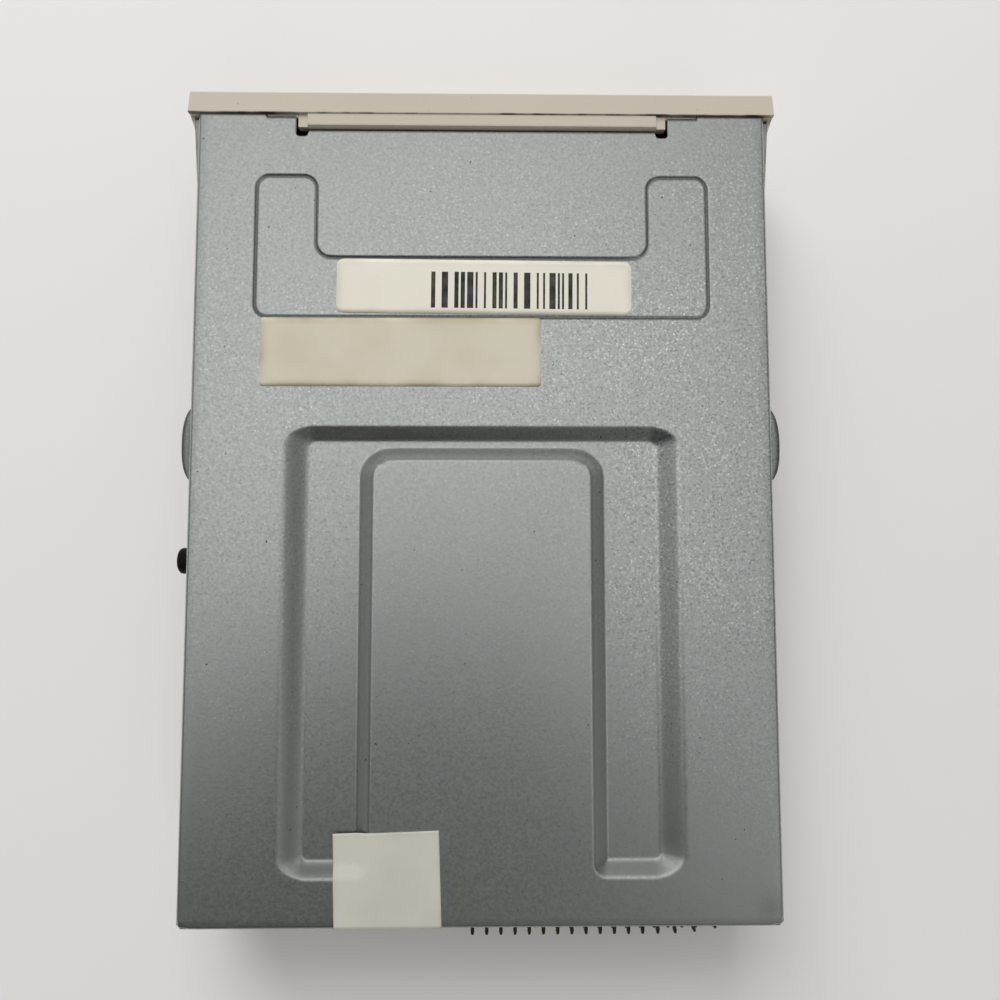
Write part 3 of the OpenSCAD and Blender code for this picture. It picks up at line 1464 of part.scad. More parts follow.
// One right-angle pin: a leg through the board and a tail that may be bent sideways
module header_pin(x, row, bend) {
    z = row_low + pin_pitch * row;
    s = pin_side / 2;
    leg = pin_leg_y(row);
    exit = header_y + header_l;
    block([x - s, leg - s, board_z - 1], [x + s, leg + s, z + s]);
    block([x - s, leg - s, z - s], [x + s, exit + s, z + s]);
    translate([x, exit + s, z]) rotate(bend) block([-s, -s, -s], [s, pin_tip_y - exit - s, s]);
}

module signal_pins() {
    straight = 12;
    color("#c9b27a") in_frame() for (i = [0 : pin_columns - 1], r = [0, 1])
        header_pin(pin_column_x(i), r, r == 1 ? pin_bend * pow(max(0, i - straight), 2) : 0);
}

module power_connector() {
    half = 2 * power_pitch + power_l / 4;
    back = power_leg_y() + 1.2;
    wall = 0.325 * power_l;
    side = power_l / 8;
    color("#e6e1d3") in_frame() difference() {
        union() {
            block([power_x - half, back, board_top], [power_x + half, back + wall, board_top + power_h]);
            block([power_x - half, back, board_top],
                [power_x + half, back + power_l, board_top + 0.175 * power_l]);
            for (x = [power_x - half, power_x + half - side])
                block([x, back, board_top], [x + side, back + 0.625 * power_l, board_top + 0.55 * power_h]);
        }
        for (i = [0 : 3]) block([power_pin_x(i) - pin_side / 2, back - cut, power_pin_z() - pin_side / 2],
            [power_pin_x(i) + pin_side / 2, back + wall + cut, power_pin_z() + pin_side / 2]);
    }
}

function power_pin_z() = board_top + 0.58 * power_h;

module power_pins() {
    s = pin_side / 2;
    leg = power_leg_y();
    color("#c9b27a") in_frame() for (i = [0 : 3]) {
        x = power_pin_x(i);
        block([x - s, leg - s, board_z - 1], [x + s, leg + s, power_pin_z() + s]);
        block([x - s, leg - s, power_pin_z() - s], [x + s, leg + power_l + 1, power_pin_z() + s]);
    }
}

module activity_led() {
    collar = 0.6;
    r = led_d / 2;
    color("#7fae4a") in_frame() {
        translate([led_x, 0, led_z]) rotate([90, 0, 0]) rotate_extrude() {
            translate([0, -led_rear]) square([r, bezel_t + led_rear - r]);
            translate([0, -led_rear]) square([r + collar / 2, 1]);
            translate([0, bezel_t - r]) intersection() {
                circle(r);
                square(r);
            }
        }
        for (x = [led_x - 0.7, led_x + 0.7]) {
            block([x - 0.25, led_rear - 0.1, led_z - 0.25], [x + 0.25, led_rear + 1, led_z + 0.25]);
            block([x - 0.25, led_rear + 0.5, board_top], [x + 0.25, led_rear + 1, led_z + 0.25]);
        }
    }
}

module switch_bodies() {
    color("#2a2c2d") in_frame() for (p = switch_spots) difference() {
        block([p.x - switch_w / 2, p.y - switch_l / 2, board_top],
            [p.x + switch_w / 2, p.y + switch_l / 2, switch_top]);
        along_z(plunger_low() - plunger_travel - run_gap, switch_top + cut, p, plunger_d + 2 * pin_play);
    }
}

function plunger_low() = switch_top - 2;

module plunger(i) {
    color("#d9d6cc") in_frame() {
        along_z(plunger_low(), plunger_tip - 0.5, switch_spots[i], plunger_d);
        translate([switch_spots[i].x, switch_spots[i].y, plunger_tip - 0.5])
            cylinder(h = 0.5, d1 = plunger_d, d2 = plunger_d - 0.8);
    }
}

module protect_plunger() {
    plunger(0);
}

module density_plunger() {
    plunger(1);
}

module disk_plunger() {
    plunger(2);
}

chassis_deck();
chassis_walls();
chassis_guides();
top_cover();
front_bezel();
slot_flap();
flap_spring();
eject_button();
eject_slide();
guide_stud();
eject_springs();
disk_holder();
holder_pins();
shutter_lever();
lever_pivot();
lever_spring();
rotor_cup();
ring_magnet();
hub_plate();
spindle_shaft();
drive_pin();
bearing_bush();
stator_core();
stator_coils();
motor_board();
motor_spacers();
motor_screws();
stepper_motor();
stepper_bracket();
bracket_screws();
lead_screw();
guide_rods();
rod_clamps();
clamp_screws();
head_carriage();
lower_head();
upper_arm();
arm_pin();
arm_spring();
upper_head();
track_zero_sensor();
main_board();
board_spacers();
board_screws();
board_chips();
board_capacitors();
signal_header();
signal_pins();
power_connector();
power_pins();
activity_led();
switch_bodies();
protect_plunger();
density_plunger();
disk_plunger();
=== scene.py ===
import json
import math

import bpy
import numpy as np
from mathutils import Matrix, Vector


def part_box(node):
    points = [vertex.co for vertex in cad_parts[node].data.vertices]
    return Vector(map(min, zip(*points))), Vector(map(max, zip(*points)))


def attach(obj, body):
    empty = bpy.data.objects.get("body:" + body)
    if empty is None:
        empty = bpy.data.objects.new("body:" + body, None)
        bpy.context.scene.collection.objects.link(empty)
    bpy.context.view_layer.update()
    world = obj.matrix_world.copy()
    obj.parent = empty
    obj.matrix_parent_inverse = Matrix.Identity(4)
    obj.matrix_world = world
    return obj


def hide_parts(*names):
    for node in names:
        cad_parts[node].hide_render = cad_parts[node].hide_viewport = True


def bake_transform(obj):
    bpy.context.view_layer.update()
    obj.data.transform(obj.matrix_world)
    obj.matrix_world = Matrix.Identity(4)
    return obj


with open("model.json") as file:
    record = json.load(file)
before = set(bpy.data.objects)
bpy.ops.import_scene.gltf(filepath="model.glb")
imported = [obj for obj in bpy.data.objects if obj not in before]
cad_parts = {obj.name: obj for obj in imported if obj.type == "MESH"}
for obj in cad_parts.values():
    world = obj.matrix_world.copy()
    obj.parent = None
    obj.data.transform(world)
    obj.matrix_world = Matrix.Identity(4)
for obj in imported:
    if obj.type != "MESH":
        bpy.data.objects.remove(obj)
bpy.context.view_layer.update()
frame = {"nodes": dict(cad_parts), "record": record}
nodes = frame["nodes"]
slotOf = {part["node"]: part["material_slot"] for part in frame["record"]["subparts"]}
print("stage: frame loaded,", len(nodes), "nodes")

# Shapes are worked out in millimetres with y = 0 at the bezel's rear face.
datum = {"mm": 0.001, "bezelRear": -66.0}


def toMetres(points):
    # Shift from the bezel's rear face to the shared origin, then scale to metres.
    moved = np.array(points, float)
    moved[..., 1] += datum["bezelRear"]
    return moved * datum["mm"]


def lines(start, *spans):
    # One rising list of grid lines from a start value over spans given as (end, step).
    out = [np.array([start], float)]
    for end, step in spans:
        first = out[-1][-1]
        count = max(1, int(round((end - first) / step)))
        out.append(np.linspace(first, end, count + 1)[1:])
    return np.concatenate(out)


def gridFaces(rows, cols, closeCols=False):
    # Quads of a grid of points, row by row; closeCols joins the last column to the first.
    index = np.arange(rows * cols).reshape(rows, cols)
    if closeCols:
        index = np.concatenate([index, index[:, :1]], 1)
    corners = [index[:-1, :-1], index[1:, :-1], index[1:, 1:], index[:-1, 1:]]
    return np.stack(corners, -1).reshape(-1, 4)


def makePiece(name, points, faces, body, slot, look=None, flip=False, caps=(), sharp=None, values=None,
              thick=None):
    # Puts a grid of points (mm) and faces into a smooth mesh that rides on a body, if one is named.
    # Caps are flat end polygons, and edges past the sharp angle (degrees) stay crisp. Values are one
    # number per point for the material, and thick is the wall (mm) behind the outer skin.
    groups = [np.asarray(faces), *caps]
    used = np.unique(np.concatenate([group.ravel() for group in groups]))
    place = np.zeros(used[-1] + 1, int)
    place[used] = np.arange(len(used))
    groups = [place[group][:, ::-1] if flip else place[group] for group in groups]
    mesh = bpy.data.meshes.new(name)
    polygons = [face for group in groups for face in group.tolist()]
    mesh.from_pydata(toMetres(points).reshape(-1, 3)[used], [], polygons)
    mesh.update()
    mesh.polygons.foreach_set("use_smooth", np.ones(len(mesh.polygons), bool))
    if sharp:
        mesh.set_sharp_from_angle(angle=math.radians(sharp))
    for key, numbers in (values or {}).items():
        layer = mesh.attributes.new(key, "FLOAT", "POINT")
        layer.data.foreach_set("value", np.ascontiguousarray(numbers.ravel()[used], np.float32))
    mesh.materials.append(look or slotLooks[slot])
    piece = bpy.data.objects.new(name, mesh)
    bpy.context.scene.collection.objects.link(piece)
    if body:
        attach(piece, body)
    if thick:
        wall = piece.modifiers.new("wall", "SOLIDIFY")
        wall.thickness = thick * datum["mm"]
        wall.offset = -1.0
        wall.use_even_offset = False
    return piece


def makeTubes(name, points, body, slot, **more):
    # Closed tubes from an array of (tube, station, outline point): quads between the stations and a flat
    # polygon at each end. The outline runs counterclockwise about the direction of travel.
    count, rows, cols = points.shape[:3]
    start = (np.arange(count) * rows * cols)[:, None]
    quads = (gridFaces(rows, cols, True)[:, ::-1].ravel() + start).reshape(-1, 4)
    ring = np.arange(cols)
    caps = (ring[::-1] + start, ring + start + (rows - 1) * cols)
    return makePiece(name, points, quads, body, slot, caps=caps, **more)


def barsAlong(path, side, wide, tall):
    # Four-cornered bars: each station's corners stand off the path by half sizes along the given side
    # and across it, and across is the travel turned about that side.
    travel = np.gradient(path, axis=1)
    travel = travel / np.linalg.norm(travel, axis=-1, keepdims=True)
    side = np.broadcast_to(side, path.shape)
    across = np.cross(travel, side)
    wide, tall = (np.asarray(size, float).reshape(1, -1, 1) for size in (wide, tall))
    corners = ((-1, -1), (1, -1), (1, 1), (-1, 1))
    return np.stack([path + side * wide * a + across * tall * b for a, b in corners], 2)


def roundOf(count):
    # Equal angles round a full circle.
    return np.linspace(0, 2 * math.pi, count, endpoint=False)


def bell(d, width):
    # 1 at d = 0, falling off on both sides as e to the minus square of d / width.
    return np.exp(-((d / width) ** 2))


def softRamp(t, e):
    # A ramp from 0 to 1 over t = 0 to 1 whose two corners are parabolas of half width e.
    def corner(v):
        return np.where(v <= -e, 0.0, np.where(v >= e, v, (v + e) ** 2 / (4 * e)))

    return corner(t) - corner(t - 1.0)


def boxDistance(x, y, cx, cy, hx, hy, r):
    # Signed distance to a rectangle of half sizes hx, hy with corner radius r.
    qx = np.abs(x - cx) - hx + r
    qy = np.abs(y - cy) - hy + r
    outside = np.hypot(np.maximum(qx, 0), np.maximum(qy, 0))
    return outside + np.minimum(np.maximum(qx, qy), 0) - r


# Materials


class nodeTree:
    # Short ways to add nodes. A value is a number, a colour or another node's output.

    def __init__(self, tree, coordinates):
        self.tree = tree
        self.place = self.put("TexCoord").outputs[coordinates]

    def join(self, value, socket):
        if isinstance(value, bpy.types.NodeSocket):
            self.tree.links.new(value, socket)
        else:
            socket.default_value = (*value, 1.0) if socket.type == "RGBA" else value

    def feed(self, node, settings):
        # Capitalised settings are the node's inputs, the others its properties.
        for key, value in settings.items():
            if key[0].isupper():
                self.join(value, node.inputs[key.replace("_", " ")])
            else:
                setattr(node, key, value)
        return node

    def put(self, kind, **settings):
        return self.feed(self.tree.nodes.new("ShaderNode" + kind), settings)

    def calc(self, operation, first, *others):
        # One operation on the values, from left to right.
        for other in others or (0.0,):
            made = self.put("Math", operation=operation)
            self.join(first, made.inputs[0])
            self.join(other, made.inputs[1])
            first = made.outputs[0]
        return first

    def times(self, *values):
        return self.calc("MULTIPLY", *values)

    def plus(self, *values):
        return self.calc("ADD", *values)

    def axes(self):
        return tuple(self.put("SeparateXYZ", Vector=self.place).outputs)

    def attribute(self, name):
        return self.put("Attribute", attribute_name=name).outputs["Fac"]

    def noise(self, scale, detail, stretch=None):
        # Noise in the range 0 to 1; stretch scales the three axes.
        source = self.place
        if stretch:
            source = self.put("Mapping", Vector=source, Scale=stretch).outputs["Vector"]
        return self.put("TexNoise", Vector=source, Scale=scale, Detail=detail).outputs["Fac"]

    def span(self, value, low, high, toLow, toHigh, **settings):
        # Maps low..high to toLow..toHigh, held at both ends.
        made = self.put("MapRange", Value=value, From_Min=low, From_Max=high, To_Min=toLow, To_Max=toHigh,
                        **settings)
        return made.outputs["Result"]

    def cloud(self, scale, detail, *limits):
        # Noise of a scale and detail, mapped as in span.
        return self.span(self.noise(scale, detail), *limits)

    def mix(self, amount, a, b):
        made = self.put("Mix", data_type="RGBA")
        for value, index in ((amount, 0), (a, 6), (b, 7)):
            self.join(value, made.inputs[index])
        return made.outputs[2]


fineGrain = {"detail": 2.0, "range": (0.3, 0.7)}


class finish(nodeTree):
    # A material with its shader, on the piece's own Object coordinates.

    def __init__(self, name, color, rough, metal=0.0):
        self.material = bpy.data.materials.new(name)
        self.material.use_nodes = True
        self.material.diffuse_color = (*color, 1.0)
        super().__init__(self.material.node_tree, "Object")
        self.shader = self.tree.nodes["Principled BSDF"]
        self.paint(Base_Color=color, Roughness=rough, Metallic=metal)

    def paint(self, **settings):
        self.feed(self.shader, settings)

    def bump(self, height, distance, strength):
        raised = self.put("Bump", Height=height, Distance=distance, Strength=strength)
        self.paint(Normal=raised.outputs["Normal"])

    def grain(self, scale, rough, distance, strength, stretch=None):
        # A fine noise that moves the roughness between two values and lifts the surface a little.
        fine = self.noise(scale, fineGrain["detail"], stretch)
        self.paint(Roughness=self.span(fine, *fineGrain["range"], *rough))
        self.bump(fine, distance, strength)


def toned(color, gain, lift=0.0):
    # A colour times a gain plus a lift, no channel past 1.
    return tuple(min(1.0, c * gain + lift) for c in color)


# A cloud is a noise's scale and detail, then the range that is mapped and the range that it becomes.
coverLook = {
    # The two lightest tones are for painted highlights; the near-black last one is for painted shade and one
    # real smudge of grime.
    "zinc": (0.50, 0.525, 0.512), "dull": (0.42, 0.445, 0.432), "dark": (0.20, 0.21, 0.207),
    "highlight": (0.74, 0.765, 0.755), "sparkHighlight": (0.97, 0.99, 0.98), "pit": (0.05, 0.052, 0.05),
    "grimeAndShade": (0.035, 0.037, 0.036),
    # The ramps from here to ahead place the painted glints and the grain, weak where the metal catches little
    # light.
    "rise": (-0.064, -0.022, 0.4, 1.0), "fall": (0.012, 0.06, 1.0, 0.12),
    "lean": (-0.035, 0.035, 1.0, 0.5), "beside": (0.018, 0.024, 0.3, 1.0),
    "ahead": (-0.012, -0.004, 1.0, 0.0),
    "toneCloud": (30.0, 3.0, 0.35, 0.7, 0.0, 0.5), "patchCloud": (60.0, 2.0, 0.38, 0.62, 0.45, 1.0),
    "glintCloud": (2700.0, 1.0, 0.50, 0.68, 0.0, 0.85), "shadeCloud": (2200.0, 1.0, 0.54, 0.72, 0.0, 0.6),
    "pitCloud": (1300.0, 1.0, 0.775, 0.80, 0.0, 0.85),
    "sparkCells": 1050.0, "sparkRange": (0.08, 0.24, 0.9, 0.0),
    "rough": (0.29, 0.39), "grain": 1900.0, "bump": (0.00004, 0.22),
}


def coverZinc():
    # An even tone with a faint cloud, painted glints as light grains and sparks, dark grains and pits, then
    # painted highlight lines along the folds and darkening from the piece's own values, mostly painted shade
    # with one real smudge of grime. The painted glints and the grain are weak at the front, at the rear and
    # on the plateau, and strongest towards -X, where the metal catches the most light.
    look = coverLook
    zinc = finish("coverZinc", look["zinc"], look["rough"][1], 1.0)
    acrossX, alongY, _ = zinc.axes()
    offPlateau = zinc.calc("MAXIMUM", zinc.span(zinc.calc("ABSOLUTE", acrossX), *look["beside"]),
                           zinc.span(alongY, *look["ahead"]))
    grain = zinc.times(offPlateau, zinc.span(acrossX, *look["lean"]), zinc.span(alongY, *look["rise"]),
                       zinc.span(alongY, *look["fall"]))
    patch = zinc.times(zinc.cloud(*look["patchCloud"]), grain)
    cells = zinc.put("TexVoronoi", Vector=zinc.place, Scale=look["sparkCells"])
    paintedSparks = zinc.span(cells.outputs["Distance"], *look["sparkRange"])
    # The light grains, the sparks and the lines from the piece's values are painted highlights; the
    # near-black layer from the piece's values is mostly painted shade, with one real smudge of grime.
    layers = (("dull", zinc.cloud(*look["toneCloud"])),
              ("highlight", zinc.times(zinc.cloud(*look["glintCloud"]), patch)),
              ("dark", zinc.times(zinc.cloud(*look["shadeCloud"]), grain)),
              ("sparkHighlight", zinc.times(paintedSparks, patch)), ("pit", zinc.cloud(*look["pitCloud"])),
              ("highlight", zinc.attribute("highlightLines")), ("grimeAndShade", zinc.attribute("dirtAndShade")))
    base = look["zinc"]
    for tone, amount in layers:
        base = zinc.mix(amount, base, look[tone])
    zinc.paint(Base_Color=base)
    zinc.grain(look["grain"], look["rough"], *look["bump"])
    return zinc.material


metalLook = {"cloud": (60.0, 3.0, 0.4, 0.75, 0.0), "dull": 0.62, "rough": (-0.07, 0.09),
             "bump": (0.00003, 0.25)}


def sheetMetal(name, color, rough, grain=(1.0, 1.0, 1.0), scale=700.0, stain=0.2):
    # Bare metal: cloudy tone, fine grain in the gloss and a light bump.
    look = metalLook
    metal = finish(name, color, rough, 1.0)
    metal.paint(Base_Color=metal.mix(metal.cloud(*look["cloud"], stain), color, toned(color, look["dull"])))
    metal.grain(scale, [rough + step for step in look["rough"]], *look["bump"], grain)
    return metal.material


plasticLook = {"cloud": (38.0, 4.0, 0.45, 0.8, 0.0), "soiled": (0.80, 0.77, 0.70),
               "specks": (2100.0, 1.0, 0.77, 0.81, 0.0), "speckTone": 0.2, "rough": (-0.05, 0.06),
               "bump": 0.00004}
bezelSeam = {"y": -0.066, "half": (0.00005, 0.0002), "above": (0.0246, 0.0249),
             "breaks": (160.0, 3.0, 0.4, 0.6, 0.25, 0.95), "color": (0.035, 0.028, 0.02)}


def moulded(name, color, rough, scale=1300.0, soil=0.25, bump=0.35, speck=0.0, gloss=0.5, seam=None):
    # Moulded plastic: even colour with slight soiling, a fine moulded grain and, if asked for, dark specks
    # and a broken dark line along a seam.
    look = plasticLook
    plastic = finish(name, color, rough)
    soiled = tuple(c * f for c, f in zip(color, look["soiled"]))
    base = plastic.mix(plastic.cloud(*look["cloud"], soil), color, soiled)
    if speck:
        base = plastic.mix(plastic.cloud(*look["specks"], speck), base, toned(color, look["speckTone"]))
    if seam:
        _, alongY, upZ = plastic.axes()
        off = plastic.calc("ABSOLUTE", plastic.calc("SUBTRACT", alongY, seam["y"]))
        line = plastic.times(plastic.span(off, *seam["half"], 1.0, 0.0),
                             plastic.span(upZ, *seam["above"], 0.0, 1.0), plastic.cloud(*seam["breaks"]))
        base = plastic.mix(line, base, seam["color"])
    plastic.paint(Base_Color=base, Specular_IOR_Level=gloss)
    plastic.grain(scale, [rough + step for step in look["rough"]], look["bump"], bump)
    return plastic.material


boardLook = {"rough": 0.34, "strips": 210.0, "strip": (0.55, 0.65, 0.0, 1.0),
             "choice": (70.0, 0.0, 0.49, 0.5, 0.0, 1.0), "bare": (45.0, 1.0, 0.44, 0.46, 0.0, 1.0),
             "cells": 260.0, "hole": (0.09, 0.11, 1.0, 0.0), "tin": (2.4, 0.12), "bump": (0.00004, 0.5)}


def laminate(name, color, track):
    # Printed board: solder mask over tracks, which run along x in some patches and along y in the others,
    # with a tinned hole here and there.
    look = boardLook
    board = finish(name, color, look["rough"])
    waves = [board.put("TexWave", Vector=board.place, Scale=look["strips"], Distortion=0.0,
                       bands_direction=axis) for axis in "XY"]
    acrossX, alongY = (board.span(wave.outputs["Fac"], *look["strip"]) for wave in waves)
    choice = board.cloud(*look["choice"])
    other = board.calc("SUBTRACT", 1.0, choice)
    runs = board.plus(board.times(acrossX, choice), board.times(alongY, other))
    runs = board.times(runs, board.cloud(*look["bare"]))
    cells = board.put("TexVoronoi", Vector=board.place, Scale=look["cells"], voronoi_dimensions="2D")
    holes = board.span(cells.outputs["Distance"], *look["hole"])
    board.paint(Base_Color=board.mix(holes, board.mix(runs, color, track), toned(color, *look["tin"])))
    board.bump(board.plus(runs, holes), *look["bump"])
    return board.material


windingLook = {"rough": 0.3, "rounds": 900.0, "waver": 1.5, "gap": 0.35, "bump": (0.0001, 0.6)}


def copperWinding(name, color):
    # Enamelled wire: fine parallel rounds across the winding, with painted shade between the rounds.
    look = windingLook
    copper = finish(name, color, look["rough"], 1.0)
    wave = copper.put("TexWave", Vector=copper.place, Scale=look["rounds"], Distortion=look["waver"],
                      bands_direction="Z").outputs["Fac"]
    copper.paint(Base_Color=copper.mix(wave, toned(color, look["gap"]), color))
    copper.bump(wave, *look["bump"])
    return copper.material


lampLook = {"rough": 0.18, "cloud": (400.0, 2.0), "glow": 1.4, "coat": 0.6, "depth": 0.2,
            "radius": (0.001, 0.001, 0.001)}


def lampLens(name, color):
    # Tinted lens: a cloudy glow under a glossy coat, with some light let into the resin.
    look = lampLook
    lens = finish(name, color, look["rough"])
    lens.paint(Base_Color=lens.mix(lens.noise(*look["cloud"]), color, toned(color, look["glow"])),
               Coat_Weight=look["coat"], Subsurface_Weight=look["depth"], Subsurface_Radius=look["radius"])
    return lens.material


paperLook = {
    "white": ((0.80, 0.765, 0.655), (0.55, 0.51, 0.40), 0.12),
    "aged": ((0.64, 0.605, 0.48), (0.42, 0.36, 0.24), 0.22),
    "sticker": ((0.575, 0.56, 0.49), (0.45, 0.43, 0.36), 0.4), "ink": (0.012, 0.012, 0.014), "rough": 0.62,
    "cloud": (110.0, 5.0), "stain": (0.42, 0.72, 0.0, 1.0), "worn": (0.3, 0.6, 0.1, 1.0),
    "faded": (500.0, 2.0, 0.3, 0.7, 0.93, 1.0), "fibre": (2500.0, 3.0), "bump": (0.00003, 0.3),
}


def paper(name, kind, inked=False, edge=0.5):
    # Paper label: fibre grain, stains that grow towards the edges, and ink where the values say so.
    look = paperLook
    color, stainColor, stained = look[kind]
    sheet = finish(name, color, look["rough"])
    cloud = sheet.noise(*look["cloud"])
    stain = sheet.times(sheet.span(cloud, *look["stain"]), stained)
    worn = sheet.times(sheet.attribute("rim"), sheet.span(cloud, *look["worn"]), edge)
    base = sheet.mix(sheet.calc("MINIMUM", sheet.plus(stain, worn), 1.0), color, stainColor)
    if inked:
        printed = sheet.times(sheet.attribute("ink"), sheet.cloud(*look["faded"]))
        base = sheet.mix(printed, base, look["ink"])
    sheet.paint(Base_Color=base)
    sheet.bump(sheet.noise(*look["fibre"]), *look["bump"])
    return sheet.material


slotLooks = {
    "cover_steel": coverZinc(),
    "chassis_steel": sheetMetal("chassisZinc", (0.42, 0.43, 0.425), 0.42),
    "slide_steel": sheetMetal("slideZinc", (0.50, 0.51, 0.50), 0.36),
    "holder_steel": sheetMetal("holderZinc", (0.55, 0.56, 0.555), 0.34),
    "lever_steel": sheetMetal("leverZinc", (0.58, 0.585, 0.58), 0.32),
    "rotor_steel": sheetMetal("rotorSteel", (0.50, 0.51, 0.52), 0.30, (1.0, 1.0, 6.0)),
    "core_steel": sheetMetal("coreSteel", (0.24, 0.245, 0.25), 0.46, (0.2, 0.2, 8.0)),
    "screw_steel": sheetMetal("screwSteel", (0.52, 0.53, 0.52), 0.33),
    "motor_can": sheetMetal("motorCan", (0.45, 0.46, 0.465), 0.35),
    "bright_steel": sheetMetal("brightSteel", (0.66, 0.67, 0.67), 0.2, (1.0, 0.1, 1.0), 900.0, 0.15),
    "spring_wire": sheetMetal("springWire", (0.40, 0.405, 0.41), 0.3),
    "clamp_cast": sheetMetal("clampCast", (0.46, 0.465, 0.47), 0.5),
    "brass_turned": sheetMetal("brassTurned", (0.66, 0.52, 0.25), 0.28),
    "bronze": sheetMetal("bronzeBush", (0.50, 0.36, 0.18), 0.38),
    # the pins' tin is darkened far below tin's own tone: painted shade, for the shade that the pins stand in
    "contact_metal": sheetMetal("contactTinShadeDark", (0.11, 0.08, 0.055), 0.36, stain=0.6),
    "copper_wire": copperWinding("copperWire", (0.62, 0.28, 0.13)),
    "ferrite": moulded("ferrite", (0.055, 0.055, 0.06), 0.6),
    "head_ceramic": moulded("headCeramic", (0.30, 0.30, 0.31), 0.25, soil=0.1, bump=0.1),
    "carriage_cast": moulded("carriageCast", (0.10, 0.10, 0.105), 0.5),
    "arm_plastic": moulded("armPlastic", (0.11, 0.11, 0.115), 0.5),
    "bezel_plastic": moulded("bezelBeige", (0.565, 0.515, 0.425), 0.5, speck=0.6, seam=bezelSeam),
    "flap_plastic": moulded("flapBeige", (0.30, 0.27, 0.22), 0.5),
    "button_plastic": moulded("buttonBeige", (0.50, 0.45, 0.365), 0.45),
    "black_plastic": moulded("blackPlastic", (0.006, 0.006, 0.0063), 0.5, gloss=0.1),
    "header_plastic": moulded("headerBlack", (0.022, 0.023, 0.025), 0.45),
    "connector_plastic": moulded("connectorWhite", (0.70, 0.67, 0.58), 0.45),
    "chip_resin": moulded("chipResin", (0.028, 0.029, 0.031), 0.55, 1800.0),
    "capacitor_resin": moulded("capacitorResin", (0.46, 0.30, 0.10), 0.4),
    "plunger_plastic": moulded("plungerWhite", (0.70, 0.68, 0.62), 0.4),
    "main_laminate": laminate("mainLaminate", (0.075, 0.15, 0.06), (0.11, 0.21, 0.08)),
    "motor_laminate": laminate("motorLaminate", (0.09, 0.13, 0.07), (0.14, 0.19, 0.10)),
    "lamp_lens": lampLens("lampLens", (0.16, 0.42, 0.09)),
}
for nodeName, node in nodes.items():
    node.data.materials.clear()
    node.data.materials.append(slotLooks[slotOf[nodeName]])
print("stage: materials on the CAD nodes")

# Edges and coils of the CAD nodes

eased = {
    "joined": 0.002, "flat": 0.5, "width": 0.1, "segments": 2, "angle": 35.0,
    "plain": ("top_cover", "signal_pins", "power_pins", "motor_screws", "board_screws", "bracket_screws",
              "clamp_screws", "lead_screw", "activity_led", "eject_springs"),
    "coils": ("flap_spring", "lever_spring", "arm_spring"), "coilLevels": 2,
    "tight": ("board_capacitors", "board_chips", "chassis_deck", "chassis_walls", "front_bezel",
              "rod_clamps", "slot_flap"),
}


def easeNode(name):
    # Joins the node's loose triangles and its flat faces, then rounds its sharp edges a little,
    # or a whole coil. A tight node has edges closer together than the rounding is wide.
    joined = nodes[name].modifiers.new("joined", "WELD")
    joined.merge_threshold = eased["joined"] * datum["mm"]
    if name in eased["coils"]:
        coil = nodes[name].modifiers.new("rounded", "SUBSURF")
        coil.levels = eased["coilLevels"]
        coil.render_levels = eased["coilLevels"]
        return
    flat = nodes[name].modifiers.new("flat", "DECIMATE")
    flat.decimate_type = "DISSOLVE"
    flat.angle_limit = math.radians(eased["flat"])
    edge = nodes[name].modifiers.new("eased", "BEVEL")
    edge.width = eased["width"] * datum["mm"]
    edge.segments = eased["segments"]
    edge.limit_method = "ANGLE"
    edge.angle_limit = math.radians(eased["angle"])
    edge.use_clamp_overlap = name in eased["tight"]
    edge.loop_slide = False
    edge.harden_normals = True


for nodeName in nodes:
    if nodeName not in eased["plain"]:
        easeNode(nodeName)
print("stage: eased edges")

# Top cover

cover = {
    "half": 49.0, "front": 0.1, "rear": 136.2, "top": 25.4, "thick": 0.8, "bend": 0.6, "bendSteps": 6,
    "cornerCut": 1.1, "flangeLow": 9.0, "rearLow": 13.0, "rearGrid": (10, 60),
    "notchX": 32.15, "notchY": 3.2, "notchEnd": 5.2, "setbackX": 37.3, "setbackY": 0.65,
    "reliefX": 31.1, "reliefY": 4.15, "reliefHalf": 1.1, "reliefR": 0.6,
    "panelX": 38.7, "panelLegX": 28.45, "panelFront": 11.2, "panelBarY": 25.6, "panelRear": 35.95,
    "panelR": 2.2, "panelInnerR": 2.8, "panelBarR": 0.5, "panelPast": (4.0, 3.0),
    "panelStep": 0.1, "panelRun": 0.3, "panelRound": 0.3, "grooveDepth": 0.2, "grooveWidth": 0.2,
    "channelX": 29.4, "plateauX": 20.5, "channelFront": 56.9, "plateauFront": 58.25, "channelRear": 126.0,
    "channelDepth": 1.5, "channelRun": 2.4, "sideRun": 3.7, "innerRun": 2.25, "frontRun": 2.1,
    "channelR": 1.2, "plateauR": 5.7, "plateauHalf": 100.0, "wallRound": 0.13,
    "lugZ": 20.0, "lugR": 2.3, "lugY": (26.0, 86.0, 122.5),
    "studY": (71.2, 77.2), "studZ": 21.6, "studR": 2.5,
}
# Grid lines as (end, step): close where the panel, the walls and the windows turn, and wide between them.
coverGrid = {
    "channelX": ((26.4, 1.2), (27.2, 0.4)), "panelX": ((36.4, 0.9), (39.4, 0.19)),
    "panelY": ((10.2, 1.0), (13.4, 0.19), (22.4, 1.5), (26.4, 0.19), (33.0, 1.2), (36.6, 0.19), (54.0, 2.0)),
    "plateauY": ((62.0, 0.26), (66.0, 0.5), (125.0, 2.0)), "rearY": ((129.4, 0.25),),
    "sideY": ((23, 2.0), (29, 0.3), (50.5, 2.0), (65, 0.45), (68, 1.5), (80.5, 0.3), (83, 0.6), (89, 0.3),
              (119.5, 2.0), (125.5, 0.3)),
    "sideZ": ((17.0, 2.0),),
}
